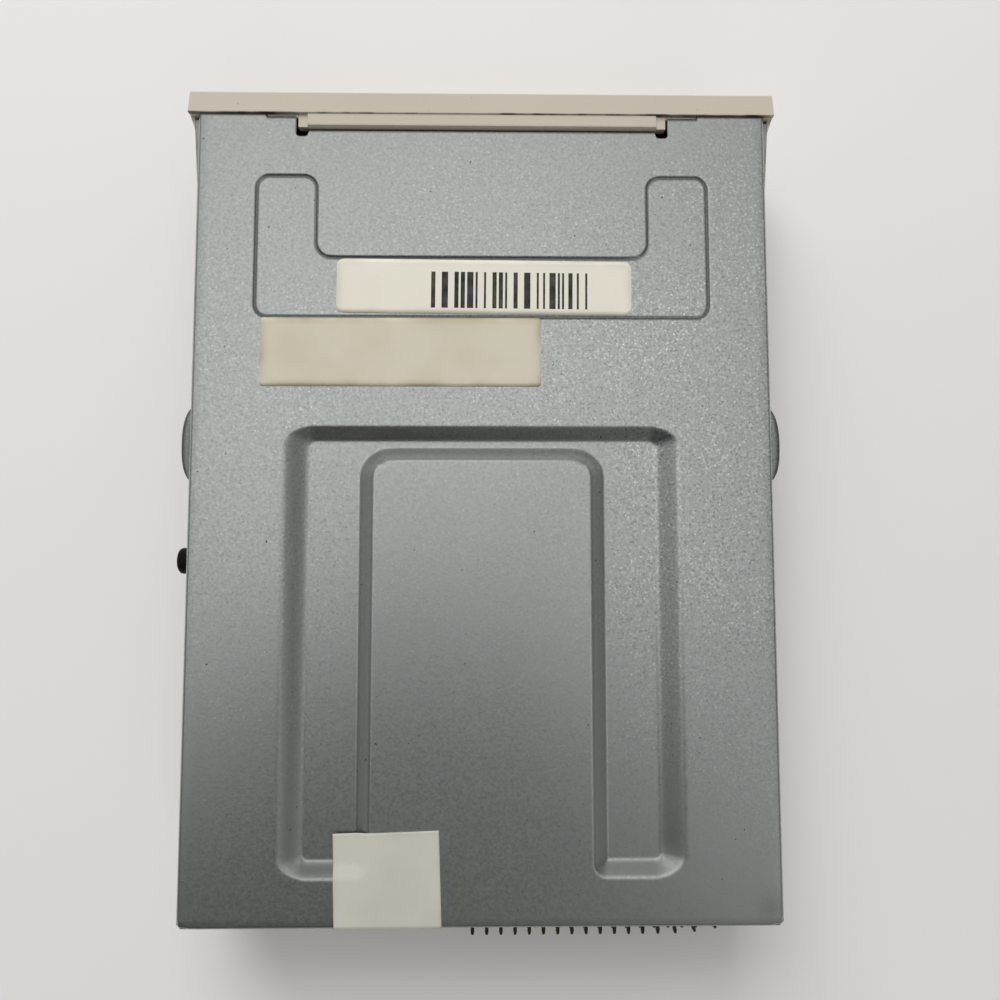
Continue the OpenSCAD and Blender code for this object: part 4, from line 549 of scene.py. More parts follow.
# Painted shade, painted highlights and real soil on the cover. Most entries are a strength, then a place or a
# width.
coverPaintedLightAndSoil = {
    "line": (0.8, 0.2), "wall": (0.12, 0.5, 0.4), "outerWallShade": (0.1, 0.001),
    "outerFoldShade": ((0.04, 0.07), (0.5, 0.35), (0.95, 0.07)), "outerPast": 2.0,
    "smudge": (0.22, -47.0, 133.2, 2.0), "rim": (0.7, 0.25, 1.0), "sideRimShade": (0.15, 0.5),
    # Painted highlights: the two fold lines' strengths, their width, where they fade out at the rear and
    # their share on the outer walls.
    "highlightLines": (0.35, 0.3), "highlightWide": 0.2, "highlightEnd": (1.0, 2.0), "outerHighlight": (0.4, 0.0),
}


def panelDistance(x, y):
    # Signed distance to the goal-post panel: two legs and a bar joined with concave fillets,
    # then cut by the panel's own outer rectangle.
    c = cover
    midY = (c["panelFront"] + c["panelRear"]) / 2
    halfY = (c["panelRear"] - c["panelFront"]) / 2
    barMid = (c["panelBarY"] + c["panelRear"]) / 2
    barHalf = (c["panelRear"] - c["panelBarY"]) / 2
    legHalf = (c["panelX"] - c["panelLegX"]) / 2
    pastX, pastY = c["panelPast"]
    leg = boxDistance(np.abs(x), y, c["panelX"] - legHalf, midY + pastY, legHalf, halfY + pastY, c["panelR"])
    bar = boxDistance(x, y, 0, barMid + pastY, c["panelX"] + pastX, barHalf + pastY, c["panelBarR"])
    r = c["panelInnerR"]
    fillet = np.hypot(np.maximum(r - leg, 0), np.maximum(r - bar, 0))
    joined = np.maximum(r, np.minimum(leg, bar)) - fillet
    return np.maximum(joined, boxDistance(x, y, 0, midY, c["panelX"], halfY, c["panelR"]))


def channelDistance(x, y):
    # Distance outward from the channel's floor: past the outer rectangle, or into the plateau.
    # Each wall has a run of its own, so the stretch that it covers is scaled to the rear wall's run.
    c = cover
    bySide, byFront, byInner = (c["channelRun"] / c[key] for key in ("sideRun", "frontRun", "innerRun"))
    wide = np.minimum(np.abs(x), c["channelX"]) + np.maximum(np.abs(x) - c["channelX"], 0) * bySide
    long = np.maximum(y, c["channelFront"]) - np.maximum(c["channelFront"] - y, 0) * byFront
    midY = (c["channelFront"] + c["channelRear"]) / 2
    halfY = (c["channelRear"] - c["channelFront"]) / 2
    outer = boxDistance(wide, long, 0, midY, c["channelX"], halfY, c["channelR"])
    inner = -boxDistance(x * byInner, y * byFront, 0, (c["plateauFront"] + c["plateauHalf"]) * byFront,
                         c["plateauX"] * byInner, c["plateauHalf"] * byFront, c["plateauR"])
    both = np.hypot(np.maximum(outer, 0), np.maximum(inner, 0))
    return np.where((outer > 0) & (inner > 0), both, np.maximum(outer, inner))


def coverHeight(x, y):
    # Top height less the panel's step and groove and less the channel's sloping pit.
    c = cover
    d = panelDistance(x, y)
    step = c["panelStep"] * (1 - softRamp(d / c["panelRun"] + 0.5, c["panelRound"]))
    groove = c["grooveDepth"] * bell(d, c["grooveWidth"])
    pit = c["channelDepth"] * (1 - softRamp(channelDistance(x, y) / c["channelRun"], c["wallRound"]))
    return c["top"] - step - groove - pit


def onOuterWall(x, y):
    # True beside the plateau at +X and behind the channel's front.
    return (x > cover["plateauX"] + coverPaintedLightAndSoil["outerPast"]) & (y > cover["channelFront"])


def coverDirtAndShade(x, y):
    # Darkening: strongest in the panel's line; painted shade on the channel's walls, more of it on the outer
    # one at +X, growing towards the rear; one real smudge of grime at a rear corner; painted shade along the
    # rear edge's bend.
    amount, wide = coverPaintedLightAndSoil["line"]
    line = amount * bell(panelDistance(x, y), wide)
    # painted shade: a dark band across the middle of each channel wall, and on the outer wall at +X more of
    # it at the folds and the middle, growing towards the rear
    d = channelDistance(x, y) / cover["channelRun"]
    amount, middle, wide = coverPaintedLightAndSoil["wall"]
    wall = amount * bell(d - middle, wide)
    least, gain = coverPaintedLightAndSoil["outerWallShade"]
    soiled = np.where(onOuterWall(x, y), least + y * gain, 0.0)
    wall = wall + soiled * sum(bell(d - at, wide) for at, wide in coverPaintedLightAndSoil["outerFoldShade"])
    amount, smudgeX, smudgeY, reach = coverPaintedLightAndSoil["smudge"]
    smudge = amount * bell(np.hypot(x - smudgeX, y - smudgeY), reach)
    # painted shade: a dark line along the rear edge's bend
    amount, wide, _ = coverPaintedLightAndSoil["rim"]
    return np.clip(line + wall + smudge + amount * bell(cover["rear"] - y, wide), 0, 1)


def coverPaintedHighlight(x, y):
    # Painted highlights: light lines along the lower and the upper fold of the channel's walls, none at the
    # rear walls or on the outer wall at +X, and faint ones on the outer wall at -X.
    look = coverPaintedLightAndSoil
    d = channelDistance(x, y)
    short, fade = look["highlightEnd"]
    clear = np.clip((cover["channelRear"] - short - y) / fade, 0, 1)
    clear = clear * np.where(onOuterWall(np.abs(x), y), np.where(x > 0, *look["outerHighlight"][::-1]), 1.0)
    low, high = look["highlightLines"]
    wide = look["highlightWide"]
    return clear * (low * bell(d, wide) + high * bell(d - cover["channelRun"], wide))


def buildCoverTop():
    # Grid over the lid: across, a bend, the flat and a bend; along, the flat and the rear bend.
    c = cover
    topX = c["plateauX"] - c["innerRun"]
    brimX = c["channelX"] + c["sideRun"]
    half = lines(0, (topX - 0.8, 1.6), (topX, 0.2), (c["plateauX"], 0.24), (c["plateauX"] + 0.8, 0.2),
                 *coverGrid["channelX"], (c["channelX"], 0.19), (brimX, 0.25), (brimX + 1, 0.25),
                 *coverGrid["panelX"], (c["half"] - c["bend"], 1.6))
    for exact in (c["notchX"], c["setbackX"]):
        half[np.abs(half - exact).argmin()] = exact
    wallFront = c["channelFront"] - c["frontRun"]
    wallRear = c["plateauFront"] + c["frontRun"]
    endRear = c["channelRear"] + c["channelRun"]
    flatY = lines(c["front"], (c["setbackY"], 0.4), (c["notchY"], 0.55), (c["notchEnd"], 0.28),
                  *coverGrid["panelY"], (wallFront, 0.2), (c["channelFront"], 0.21),
                  (c["plateauFront"], 0.19), (wallRear, 0.21), *coverGrid["plateauY"],
                  (c["channelRear"], 0.2), (endRear, 0.24), *coverGrid["rearY"], (c["rear"] - c["bend"], 1.0))
    arc = np.linspace(0, math.pi / 2, c["bendSteps"] + 1)[1:]
    curve = c["bend"] * np.sin(arc)
    flatX = np.concatenate([-half[:0:-1], half])
    x = np.concatenate([-half[-1] - curve[::-1], flatX, half[-1] + curve])
    y = np.concatenate([flatY, flatY[-1] + curve])
    turnX = np.concatenate([arc[::-1], 0 * flatX, arc])
    turnY = np.concatenate([0 * flatY, arc])
    gx, gy = np.meshgrid(x, y)
    # the rear corners are cut where the two bends' angles add up to a right angle
    square = math.pi / 2
    total = turnX[None, :] + turnY[:, None]
    cutBack = np.where(total > square, square / np.maximum(total, 1e-6), 1.0)
    bendX = turnX[None, :] * cutBack
    bendY = turnY[:, None] * cutBack
    gx = np.where(turnX[None, :] > 0, np.sign(gx) * (half[-1] + c["bend"] * np.sin(bendX)), gx)
    gy = np.where(turnY[:, None] > 0, flatY[-1] + c["bend"] * np.sin(bendY), gy)
    drop = c["bend"] * (2 - np.cos(bendX) - np.cos(bendY))
    # the rows behind the notch give way to the two round relief slots
    r, notch, end = c["reliefR"], c["notchY"], c["notchEnd"]
    side = np.abs(np.abs(gx) - c["reliefX"]) - c["reliefHalf"] + r
    edge = c["reliefY"] - r + np.sqrt(np.maximum(r ** 2 - np.maximum(side, 0) ** 2, 0))
    edge = np.where(side < r, np.maximum(edge, notch), notch)
    shifted = edge + (gy - notch) * (end - edge) / (end - notch)
    gy = np.where((gy >= notch) & (gy <= end), shifted, gy)
    # a straight cut across each rear corner: what stands past it goes back along both axes
    over = np.maximum(np.abs(gx) - c["half"] + gy - c["rear"] + c["cornerCut"], 0)
    gx = gx - np.sign(gx) * over / 2
    gy = gy - over / 2
    points = np.stack([gx, gy, coverHeight(gx, gy) - drop], -1)
    # no faces in the notch, in the setback beside it or past the corner cuts
    midX = np.abs((x[:-1] + x[1:]) / 2)[None, :]
    midY = ((y[:-1] + y[1:]) / 2)[:, None]
    gone = (midX < c["notchX"]) & (midY < notch) | (midX < c["setbackX"]) & (midY < c["setbackY"])
    corners = (total[:-1, :-1] + total[1:, :-1] + total[:-1, 1:] + total[1:, 1:]) / 4
    gone |= (corners > square) & (turnX[1:] + turnX[:-1] > 0)[None, :]
    faces = gridFaces(len(y), len(x))[~gone.ravel()]
    piece = makePiece("coverTop", points, faces, "drive", "cover_steel", flip=True, thick=c["thick"],
                      values={"dirtAndShade": coverDirtAndShade(gx, gy), "highlightLines": coverPaintedHighlight(gx, gy)})
    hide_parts("top_cover")


def openHoles(u, v, holes):
    # Drops the grid's faces inside the holes and moves the points on their rims onto the outlines.
    gu, gv = np.meshgrid(u, v)
    keep = np.ones((len(v) - 1, len(u) - 1), bool)
    midU, midV = np.meshgrid((u[:-1] + u[1:]) / 2, (v[:-1] + v[1:]) / 2)
    tiny = 1e-4
    for distance in holes:
        inside = distance(midU, midV) < 0
        keep &= ~inside
        count = np.zeros(gu.shape, int)
        for a in (0, 1):
            for b in (0, 1):
                count[a:a + inside.shape[0], b:b + inside.shape[1]] += inside
        rim = (count > 0) & (count < 4)
        d = distance(gu, gv)
        du = (distance(gu + tiny, gv) - distance(gu - tiny, gv)) / (2 * tiny)
        dv = (distance(gu, gv + tiny) - distance(gu, gv - tiny)) / (2 * tiny)
        gu = np.where(rim, gu - d * du, gu)
        gv = np.where(rim, gv - d * dv, gv)
    return gu, gv, keep


fingerEar = {"windowY": 57.7, "windowHalf": 6.75, "windowZ": (19.6, 22.6), "windowR": 0.3,
             "y": 57.5, "half": 6.4, "power": 2.35, "out": 2.1, "droop": 0.3, "round": 0.25,
             "steps": (49, 9), "dirtAndShade": 0.55}


def buildCoverSide(name, sign):
    # Flat flange below the side bend, with windows for the lugs, the finger ear and the stud.
    c = cover
    y = lines(c["front"], *coverGrid["sideY"], (c["rear"] - c["bend"], 2.0))
    z = lines(c["flangeLow"], *coverGrid["sideZ"], (c["top"] - c["bend"], 0.28))
    holes = [lambda u, v, m=m: np.hypot(u - m, v - c["lugZ"]) - c["lugR"] for m in c["lugY"]]
    ear = fingerEar
    low, high = ear["windowZ"]
    window = (ear["windowY"], (low + high) / 2, ear["windowHalf"], (high - low) / 2, ear["windowR"])
    holes.append(lambda u, v: boxDistance(u, v, *window))
    if sign > 0:
        holes.append(lambda u, v: np.hypot(u - np.clip(u, *c["studY"]), v - c["studZ"]) - c["studR"])
    gy, gz, keep = openHoles(y, z, holes)
    points = np.stack([np.full_like(gy, sign * c["half"]), gy, gz], -1)
    # painted shade: the flange darker towards the top bend
    amount, fade = coverPaintedLightAndSoil["sideRimShade"]
    dirtAndShade = amount * np.exp(-np.abs(gz - c["top"] + c["bend"]) / fade)
    makePiece(name, points, gridFaces(len(z), len(y))[keep.ravel()], "drive", "cover_steel", flip=sign > 0,
              thick=c["thick"], values={"dirtAndShade": dirtAndShade})


def buildCoverRear():
    # Flat flange below the rear bend.
    c = cover
    rows, cols = c["rearGrid"]
    end = c["half"] - c["bend"]
    z = np.linspace(c["rearLow"], c["top"] - c["bend"], rows)
    gx, gz = np.meshgrid(np.linspace(-end, end, cols), z)
    points = np.stack([gx, np.full_like(gx, c["rear"]), gz], -1)
    # painted shade: the flange darker towards the rear bend
    amount, _, fade = coverPaintedLightAndSoil["rim"]
    makePiece("coverRear", points, gridFaces(rows, cols), "drive", "cover_steel", thick=c["thick"],
              values={"dirtAndShade": amount * bell(gz - z[-1], fade)})


def buildFingerEar(name, sign):
    # A half-round tab: a rounded slice carried along half a full ellipse, whose two half sizes go with
    # the sine and the cosine raised to 2 / power.
    look = fingerEar
    thick = cover["thick"]
    root = cover["half"] - thick / 2
    reach = look["out"] + thick / 2
    angle, turn = (np.linspace(-math.pi / 2, math.pi / 2, count) for count in look["steps"])
    angle = angle[:, None]
    outward = np.maximum(np.cos(angle), 0) ** (2 / look["power"])
    sideways = np.sign(angle) * np.abs(np.sin(angle)) ** (2 / look["power"])
    r, low = look["round"], look["windowZ"][1]
    high = low + thick
    inset = np.concatenate([[r], r * (1 - np.cos(turn)), [r]])
    tall = np.concatenate([[low], np.where(turn < 0, low + r, high - r) + r * np.sin(turn), [high]])
    outX = root + (reach - inset) * outward
    outX[:, [0, -1]] = root
    outY = look["y"] + look["half"] * sideways + 0 * outX
    tall = tall - look["droop"] * (outX - root) / reach
    points = np.stack([sign * outX, outY, tall], -1)
    # the whole ear is darkened: painted shade for the shade that the bent-out ear lies in
    makePiece(name, points, gridFaces(*outX.shape, True), "drive", "cover_steel", flip=sign < 0,
              values={"dirtAndShade": np.full_like(outX, look["dirtAndShade"])})


buildCoverTop()
buildCoverSide("coverSideLeft", 1)
buildCoverSide("coverSideRight", -1)
buildCoverRear()
buildFingerEar("fingerEarLeft", 1)
buildFingerEar("fingerEarRight", -1)
print("stage: cover")

# Paper on the cover

whiteLabel = {"centre": (-0.35, 30.7), "size": (50.3, 9.4), "tilt": -0.5, "lift": 0.05, "thick": 0.07,
              "round": 1.3, "grid": (40, 14), "barsX": (-17.95, 10.35), "barsY": (-2.6, 3.7),
              "module": 0.36, "soft": 0.012, "widths": (1, 1, 2, 3), "bars": 70, "seed": 11}
yellowLabel = {"centre": (13.8, 42.0), "size": (47.4, 11.8), "tilt": 0.0, "lift": 0.05, "thick": 0.08,
               "round": 0.5, "grid": (60, 18)}
labelEdge = {"corner": (0.0, 0.04, 0.12, 0.25, 0.42, 0.65, 1.0), "rim": 1.2}
rearSticker = {"front": ((24.16, 121.4), (6.9, 120.8)), "rearX": (23.7, 6.42), "sink": 0.4, "lift": 0.06,
               "thick": 0.08, "down": 8.0, "rows": (40, 9, 10), "columns": 60, "rim": 0.8,
               "sides": (17.0, 15.0, 10.0)}


def rimValues(s, t, width):
    # 1 at the paper's edge, falling to 0 at the given width inside it (s, t and width in mm).
    inside = np.minimum(np.minimum(s - s.min(), s.max() - s), np.minimum(t - t.min(), t.max() - t))
    return np.clip(1 - inside / width, 0, 1)


def labelLines(look):
    # Even grid lines over the label's width and length, from its middle.
    return [np.linspace(-size / 2, size / 2, count) for size, count in zip(look["size"], look["grid"])]


def buildFlatLabel(name, look, material, across, along, ink=None):
    # A turned rectangle laid on the cover's own height; each column is shortened at the round corners.
    halfS, halfT = look["size"][0] / 2, look["size"][1] / 2
    r = look["round"]
    corner = np.array(labelEdge["corner"]) * r
    across = np.unique(np.concatenate([across[np.abs(across) < halfS - r], corner - halfS, halfS - corner]))
    gs, gt = np.meshgrid(across, along)
    over = np.clip(np.abs(gs) - halfS + r, 0, r)
    gt = gt * (halfT - r + np.sqrt(r * r - over * over)) / halfT
    a = math.radians(look["tilt"])
    x = look["centre"][0] + gs * math.cos(a) - gt * math.sin(a)
    y = look["centre"][1] + gs * math.sin(a) + gt * math.cos(a)
    z = coverHeight(x, y) + look["lift"] + look["thick"]
    values = {"rim": rimValues(gs, gt, labelEdge["rim"])}
    if ink:
        values["ink"] = ink(gs, gt)
    makePiece(name, np.stack([x, y, z], -1), gridFaces(len(along), len(across)), "drive", "cover_steel",
              material, flip=True, thick=look["thick"], values=values)


def buildWhiteLabel():
    # Bars of random module widths in a plain rhythm that stands for no code.
    look = whiteLabel
    draw = np.random.default_rng(look["seed"])
    edges = look["barsX"][0] + np.cumsum(draw.choice(look["widths"], look["bars"])) * look["module"]
    edges = edges[edges < look["barsX"][1]]
    edges = edges[:len(edges) // 2 * 2]
    low, high = look["barsY"]
    # a grid line on both sides of each bar's edge keeps the print crisp
    across, along = (np.unique(np.concatenate([rows, cuts - look["soft"], cuts + look["soft"]]))
                     for rows, cuts in zip(labelLines(look), (edges, np.array(look["barsY"]))))

    def ink(s, t):
        return ((np.searchsorted(edges, s) % 2 == 1) & (t > low) & (t < high)).astype(float)

    buildFlatLabel("whiteLabel", look, paper("paperWhite", "white", True), across, along, ink)


def buildRearSticker():
    # Four-cornered sheet drawn over the channel's end, round the rear bend and down the rear flange.
    look = rearSticker
    flat, bent, down = look["rows"]
    fold = flat + bent
    across = np.linspace(0, 1, look["columns"])[None, :]
    run = np.concatenate([np.linspace(0, 1, flat), np.ones(bent + down)])[:, None]
    (ax, ay), (bx, by) = look["front"]
    cx, dx = look["rearX"]
    x = (ax + (bx - ax) * across) * (1 - run) + (cx + (dx - cx) * across) * run
    y = (ay + (by - ay) * across) * (1 - run) + (cover["rear"] - cover["bend"]) * run
    z = cover["top"] - look["sink"] * (cover["top"] - coverHeight(x, y)) + look["lift"] + look["thick"]
    r = cover["bend"] + look["lift"] + look["thick"]
    arc = np.linspace(0, math.pi / 2, bent + 1)[1:, None]
    y[flat:fold] = y[flat - 1] + r * np.sin(arc)
    z[flat:fold] = z[flat - 1] - r * (1 - np.cos(arc))
    y[fold:] = y[fold - 1]
    z[fold:] = z[fold - 1] - np.linspace(0, look["down"], down + 1)[1:, None]
    wide, top, rear = look["sides"]
    s = across * wide + 0 * run
    t = np.concatenate([np.linspace(0, top, flat), top + np.linspace(0, rear, bent + down)])
    rim = rimValues(s, t[:, None] + 0 * across, look["rim"])
    makePiece("rearSticker", np.stack([x, y, z], -1), gridFaces(*s.shape), "drive", "cover_steel",
              paper("paperSticker", "sticker"), thick=look["thick"], values={"rim": rim})


buildWhiteLabel()
buildFlatLabel("yellowLabel", yellowLabel, paper("paperAged", "aged", edge=0.9), *labelLines(yellowLabel))
buildRearSticker()
print("stage: labels")

# Bezel's rear lip

bezelLip = {
    "tongueX": 30.2, "ledgeX": (31.9, 37.2),
    "tongue": ((1.7, 25.41), (2.0, 25.41), (2.1, 25.37), (2.5, 24.75), (2.5, 23.95), (1.7, 23.95)),
    "ledge": ((-0.05, 24.95), (0.4, 24.95), (0.55, 24.9), (0.6, 24.8), (0.6, 24.2), (-0.05, 24.2)),
}


def buildBezelLip():
    # The tongue's sloping rear edge and the two low ledges beside it: outlines in (y, z) carried along x.
    look = bezelLip
    near, far = look["ledgeX"]
    x = np.array([(-look["tongueX"], look["tongueX"]), (near, far), (-far, -near)])[:, :, None]
    outlines = np.array([look["tongue"], look["ledge"], look["ledge"]])[:, None, ::-1]
    y, z = (outlines[..., axis] + 0 * x for axis in (0, 1))
    makeTubes("bezelLip", np.stack([x + 0 * y, y, z], -1), "drive", "bezel_plastic", sharp=25.0)


buildBezelLip()
print("stage: bezel lip")

# Connector pins, chip leads and solder

boardLow, boardHigh = (corner[2] / datum["mm"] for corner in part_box("main_board"))
signalPins = {"x": -18.6, "pitch": 2.54, "columns": 17, "legs": (132.8, 130.26), "exit": 138.0,
              "tip": 143.75, "half": 0.32, "point": 0.2, "pointRun": 0.6, "below": (1.05, 0.6),
              "knee": (0.4, 0.12), "spreadFrom": 12, "spread": 2.1, "sharp": 30.0}
powerPins = {"x": 31.0, "pitch": 2.5, "columns": 4, "leg": 130.4, "exit": 134.2, "up": 3.596, "tip": 139.4}


def pinBars(x, leg, height, leave, tip, bend):
    # Right-angle pins with pointed ends: up from below the board, round a bend, out of the housing and
    # along a tail that may be turned sideways by an angle. Every argument is one value per pin.
    look = signalPins
    x, leg, height, leave, tip, bend = np.broadcast_arrays(x, leg, height, leave, tip, bend)
    run = tip - leave - look["half"]
    end, start = (boardLow - far for far in look["below"])
    knee, short = look["knee"]
    stations = [(x, leg, end), (x, leg, start), (x, leg, height - knee), (x, leg + short, height - short),
                (x, leg + knee, height), (x, leave, height), (x, leave + look["half"], height)]
    for far in (run - look["pointRun"], run):
        stations.append((x - far * np.sin(bend), leave + look["half"] + far * np.cos(bend), height))
    path = np.stack([np.stack(np.broadcast_arrays(*place), -1) for place in stations], 1)
    turn = np.stack([0 * bend] * 6 + [bend / 2, bend, bend], 1)
    side = np.stack([np.cos(turn), np.sin(turn), 0 * turn], -1)
    size = np.full(len(stations), look["half"])
    size[[0, -1]] = look["point"]
    return barsAlong(path, side, size, size)


def buildPins():
    # Two rows of signal pins, the last few of the upper row spread by the square of their place, and
    # four power pins.
    look, power = signalPins, powerPins
    column = np.tile(np.arange(look["columns"]), 2)
    row = np.repeat([0, 1], look["columns"])
    x = look["x"] + look["pitch"] * ((look["columns"] - 1) / 2 - column)
    leg = np.array(look["legs"])[row]
    height = boardHigh + look["pitch"] * (row + 0.5)
    bend = np.radians(look["spread"]) * np.maximum(column - look["spreadFrom"], 0) ** 2 * row
    powerX = power["x"] + power["pitch"] * ((power["columns"] - 1) / 2 - np.arange(power["columns"]))
    powerBars = pinBars(powerX, power["leg"], boardHigh + power["up"], power["exit"], power["tip"], 0.0)
    bars = pinBars(x, leg, height, look["exit"], look["tip"], bend)
    pins = makeTubes("signalPins", bars, "drive", "contact_metal", sharp=look["sharp"])
    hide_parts("signal_pins")
    pins = makeTubes("powerPins", powerBars, "drive", "contact_metal", sharp=look["sharp"])
    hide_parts("power_pins")
    return np.concatenate([x, powerX]), np.concatenate([leg, np.full_like(powerX, power["leg"])])


solder = {"radius": (0.9, 0.84, 0.6, 0.45, 0.36), "drop": (-0.02, 0.06, 0.3, 0.6, 0.88), "columns": 14,
          "tone": (0.56, 0.56, 0.54), "rough": 0.3, "stain": 0.5}


def buildSolder(x, y):
    # Hollow-sided cones of tin round the legs: circles that shrink as they leave the board.
    angle = roundOf(solder["columns"])
    radius = np.array(solder["radius"])[None, :, None]
    height = boardLow - np.array(solder["drop"])[None, :, None]
    ring = [x[:, None, None] + radius * np.cos(angle), y[:, None, None] + radius * np.sin(angle), height]
    tin = sheetMetal("solderTin", solder["tone"], solder["rough"], stain=solder["stain"])
    makeTubes("solderJoints", np.stack(np.broadcast_arrays(*ring), -1), "drive", "contact_metal", look=tin,
              flip=True, sharp=60.0)


# A chip is its centre, width, length and height, its leads per side along x and along y, and their pitch.
chipLeads = {
    "chips": ((-29.9, 102.06, 14.0, 14.0, 2.0, 11, 11, 1.0), (5.98, 122.985, 20.02, 7.0, 1.8, 15, 0, 1.27),
              (29.9, 105.975, 7.0, 12.04, 1.8, 0, 8, 1.27)),
    "out": (-0.1, 0.25, 0.5, 0.72, 1.2), "toe": 0.02, "wide": 0.19, "tall": 0.07,
    "tone": (0.50, 0.50, 0.49), "rough": 0.3, "stain": 0.5,
}


def buildChipLeads():
    # Gull wings: level out of the resin, down to the board and along it. Each row of leads is one array,
    # given by the chip's side that it leaves and the direction outward.
    look = chipLeads
    rows = []
    out = np.array(look["out"])
    flat = boardLow - look["tall"]
    for x, y, wide, long, tall, countX, countY, pitch in look["chips"]:
        middle = boardLow - tall / 2
        level = np.array([middle, middle, (middle + flat) / 2, flat - look["toe"], flat])
        for count, reach, axis in ((countX, long / 2, 1), (countY, wide / 2, 0)):
            spread = pitch * (np.arange(count) - (count - 1) / 2)[:, None]
            for sign in (-1, 1) if count else ():
                place = [spread + 0 * out, sign * (reach + out) + 0 * spread]
                offX, offY = place if axis == 1 else place[::-1]
                path = np.stack([x + offX, y + offY, level + 0 * spread], -1)
                rows.append(barsAlong(path, np.eye(3)[1 - axis], look["wide"], look["tall"]))
    tin = sheetMetal("leadTin", look["tone"], look["rough"], stain=look["stain"])
    makeTubes("chipLeads", np.concatenate(rows), "drive", "contact_metal", look=tin, sharp=30.0)


buildSolder(*buildPins())
buildChipLeads()
print("stage: pins, solder and chip leads")

# Screws, lead screw and mounting threads

screwSets = {
    "motorScrews": {"node": "motor_screws", "spots": ((-29, 18), (29, 18), (-29, 71), (29, 71)),
                    "up": False, "headR": 2.2, "headH": 1.0, "shankR": 1.1},
    "boardScrews": {"node": "board_screws", "spots": ((-42.8, 62), (42.8, 62), (-42.8, 126), (42.8, 126)),
                    "up": False, "headR": 2.2, "headH": 1.2, "shankR": 1.1},
    "bracketScrews": {"node": "bracket_screws", "spots": ((31, 99.6), (31, 108.4)),
                      "up": True, "headR": 1.8, "headH": 0.9, "shankR": 0.9},
    "clampScrews": {"node": "clamp_screws",
                    "spots": ((-15.2, 76.9), (15.2, 76.9), (-15.2, 123.7), (15.2, 123.7)),
                    "up": True, "headR": 1.7, "headH": 0.8, "shankR": 0.8},
}
# The crown's circles are a share of the head's radius and a share of its height below the top.
screwHead = {"reach": 0.56, "arm": 0.15, "steps": 3, "depth": 0.6, "floor": 0.8, "lip": 0.02,
             "crown": ((0.7, 0.05), (0.9, 0.22), (1.0, 0.55))}


def crossOutline():
    # A plus sign of twelve corners for a head of radius 1, each edge cut into equal steps.
    far, near, steps = (screwHead[key] for key in ("reach", "arm", "steps"))
    corners = [np.array([(far, -near), (far, near), (near, near)])]
    for _ in range(3):
        corners.append(corners[-1] @ np.array([[0, 1], [-1, 0]]))
    corners = np.concatenate(corners)
    step = (np.arange(steps) / steps)[None, :, None]
    return (corners[:, None] * (1 - step) + np.roll(corners, -1, 0)[:, None] * step).reshape(-1, 2)


def buildScrews(name, look):
    # Pan heads: the recess's plus sign at its floor and at the top, then circles at the same angles over
    # the crown, down the rim, in to the shank and along it.
    lowest, highest = (corner[2] / datum["mm"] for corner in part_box(look["node"]))
    top, end, sign = (highest, lowest, 1) if look["up"] else (lowest, highest, -1)
    r, h = look["headR"], sign * look["headH"]
    plus = crossOutline()
    circle = plus / np.linalg.norm(plus, axis=1, keepdims=True)
    stations = [(plus * screwHead["floor"] * r, top - h * screwHead["depth"]),
                (plus * r, top - h * screwHead["lip"])]
    stations += [(circle * share * r, top - h * down) for share, down in screwHead["crown"]]
    stations += [(circle * r, top - h), (circle * look["shankR"], top - h), (circle * look["shankR"], end)]
    rings = np.stack([np.concatenate([ring, np.full((len(ring), 1), z)], 1) for ring, z in stations])
    spots = np.array([(x, y, 0.0) for x, y in look["spots"]])
    points = spots[:, None, None] + rings
    screws = makeTubes(name, points, "drive", "screw_steel", flip=look["up"], sharp=30.0)
    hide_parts(look["node"])


leadScrew = {"x": 27.0, "z": 13.6, "radius": 1.5, "journal": 1.0, "thread": (93.7, 114.3),
             "ends": (92.6, 120.4), "chamfer": 0.15, "pitch": 3.0, "followerY": 111.0, "depth": 0.35,
             "share": 0.27, "columns": 40, "rows": 110}


def buildLeadScrew():
    # Radius round and along the axis: a thread's outside less a round groove that climbs one pitch a turn.
    look = leadScrew
    (start, stop), (first, last) = look["thread"], look["ends"]
    journal, chamfer = look["journal"], look["chamfer"]
    run = np.linspace(start, stop, look["rows"])
    y = np.concatenate([[first, first + chamfer, start], run, [stop, last - chamfer, last]])[:, None]
    ends = np.array([journal - chamfer, journal, journal])
    outer = np.concatenate([ends, np.full(len(run), look["radius"]), ends[::-1]])[:, None]
    cutHere = (outer == look["radius"]).astype(float)
    angle = roundOf(look["columns"])[None, :]
    turn = (y - look["followerY"]) / look["pitch"] - (angle - math.pi) / (2 * math.pi)
    off = np.abs(turn - np.round(turn)) / look["share"]
    radius = outer - look["depth"] * np.sqrt(np.clip(1 - off ** 2, 0, 1)) * cutHere
    x = look["x"] + radius * np.sin(angle)
    z = look["z"] + radius * np.cos(angle)
    points = np.stack([x, y + 0 * angle, z], -1)[None]
    thread = makeTubes("leadScrewThread", points, "screw", "bright_steel", sharp=40.0)
    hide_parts("lead_screw")


ejectSprings = {"x": 41.7, "z": 12.4, "ends": (99.4, 112.0), "radius": 1.8, "wire": 0.25, "turns": 8,
                "closed": 1, "stations": 220, "sides": 10}


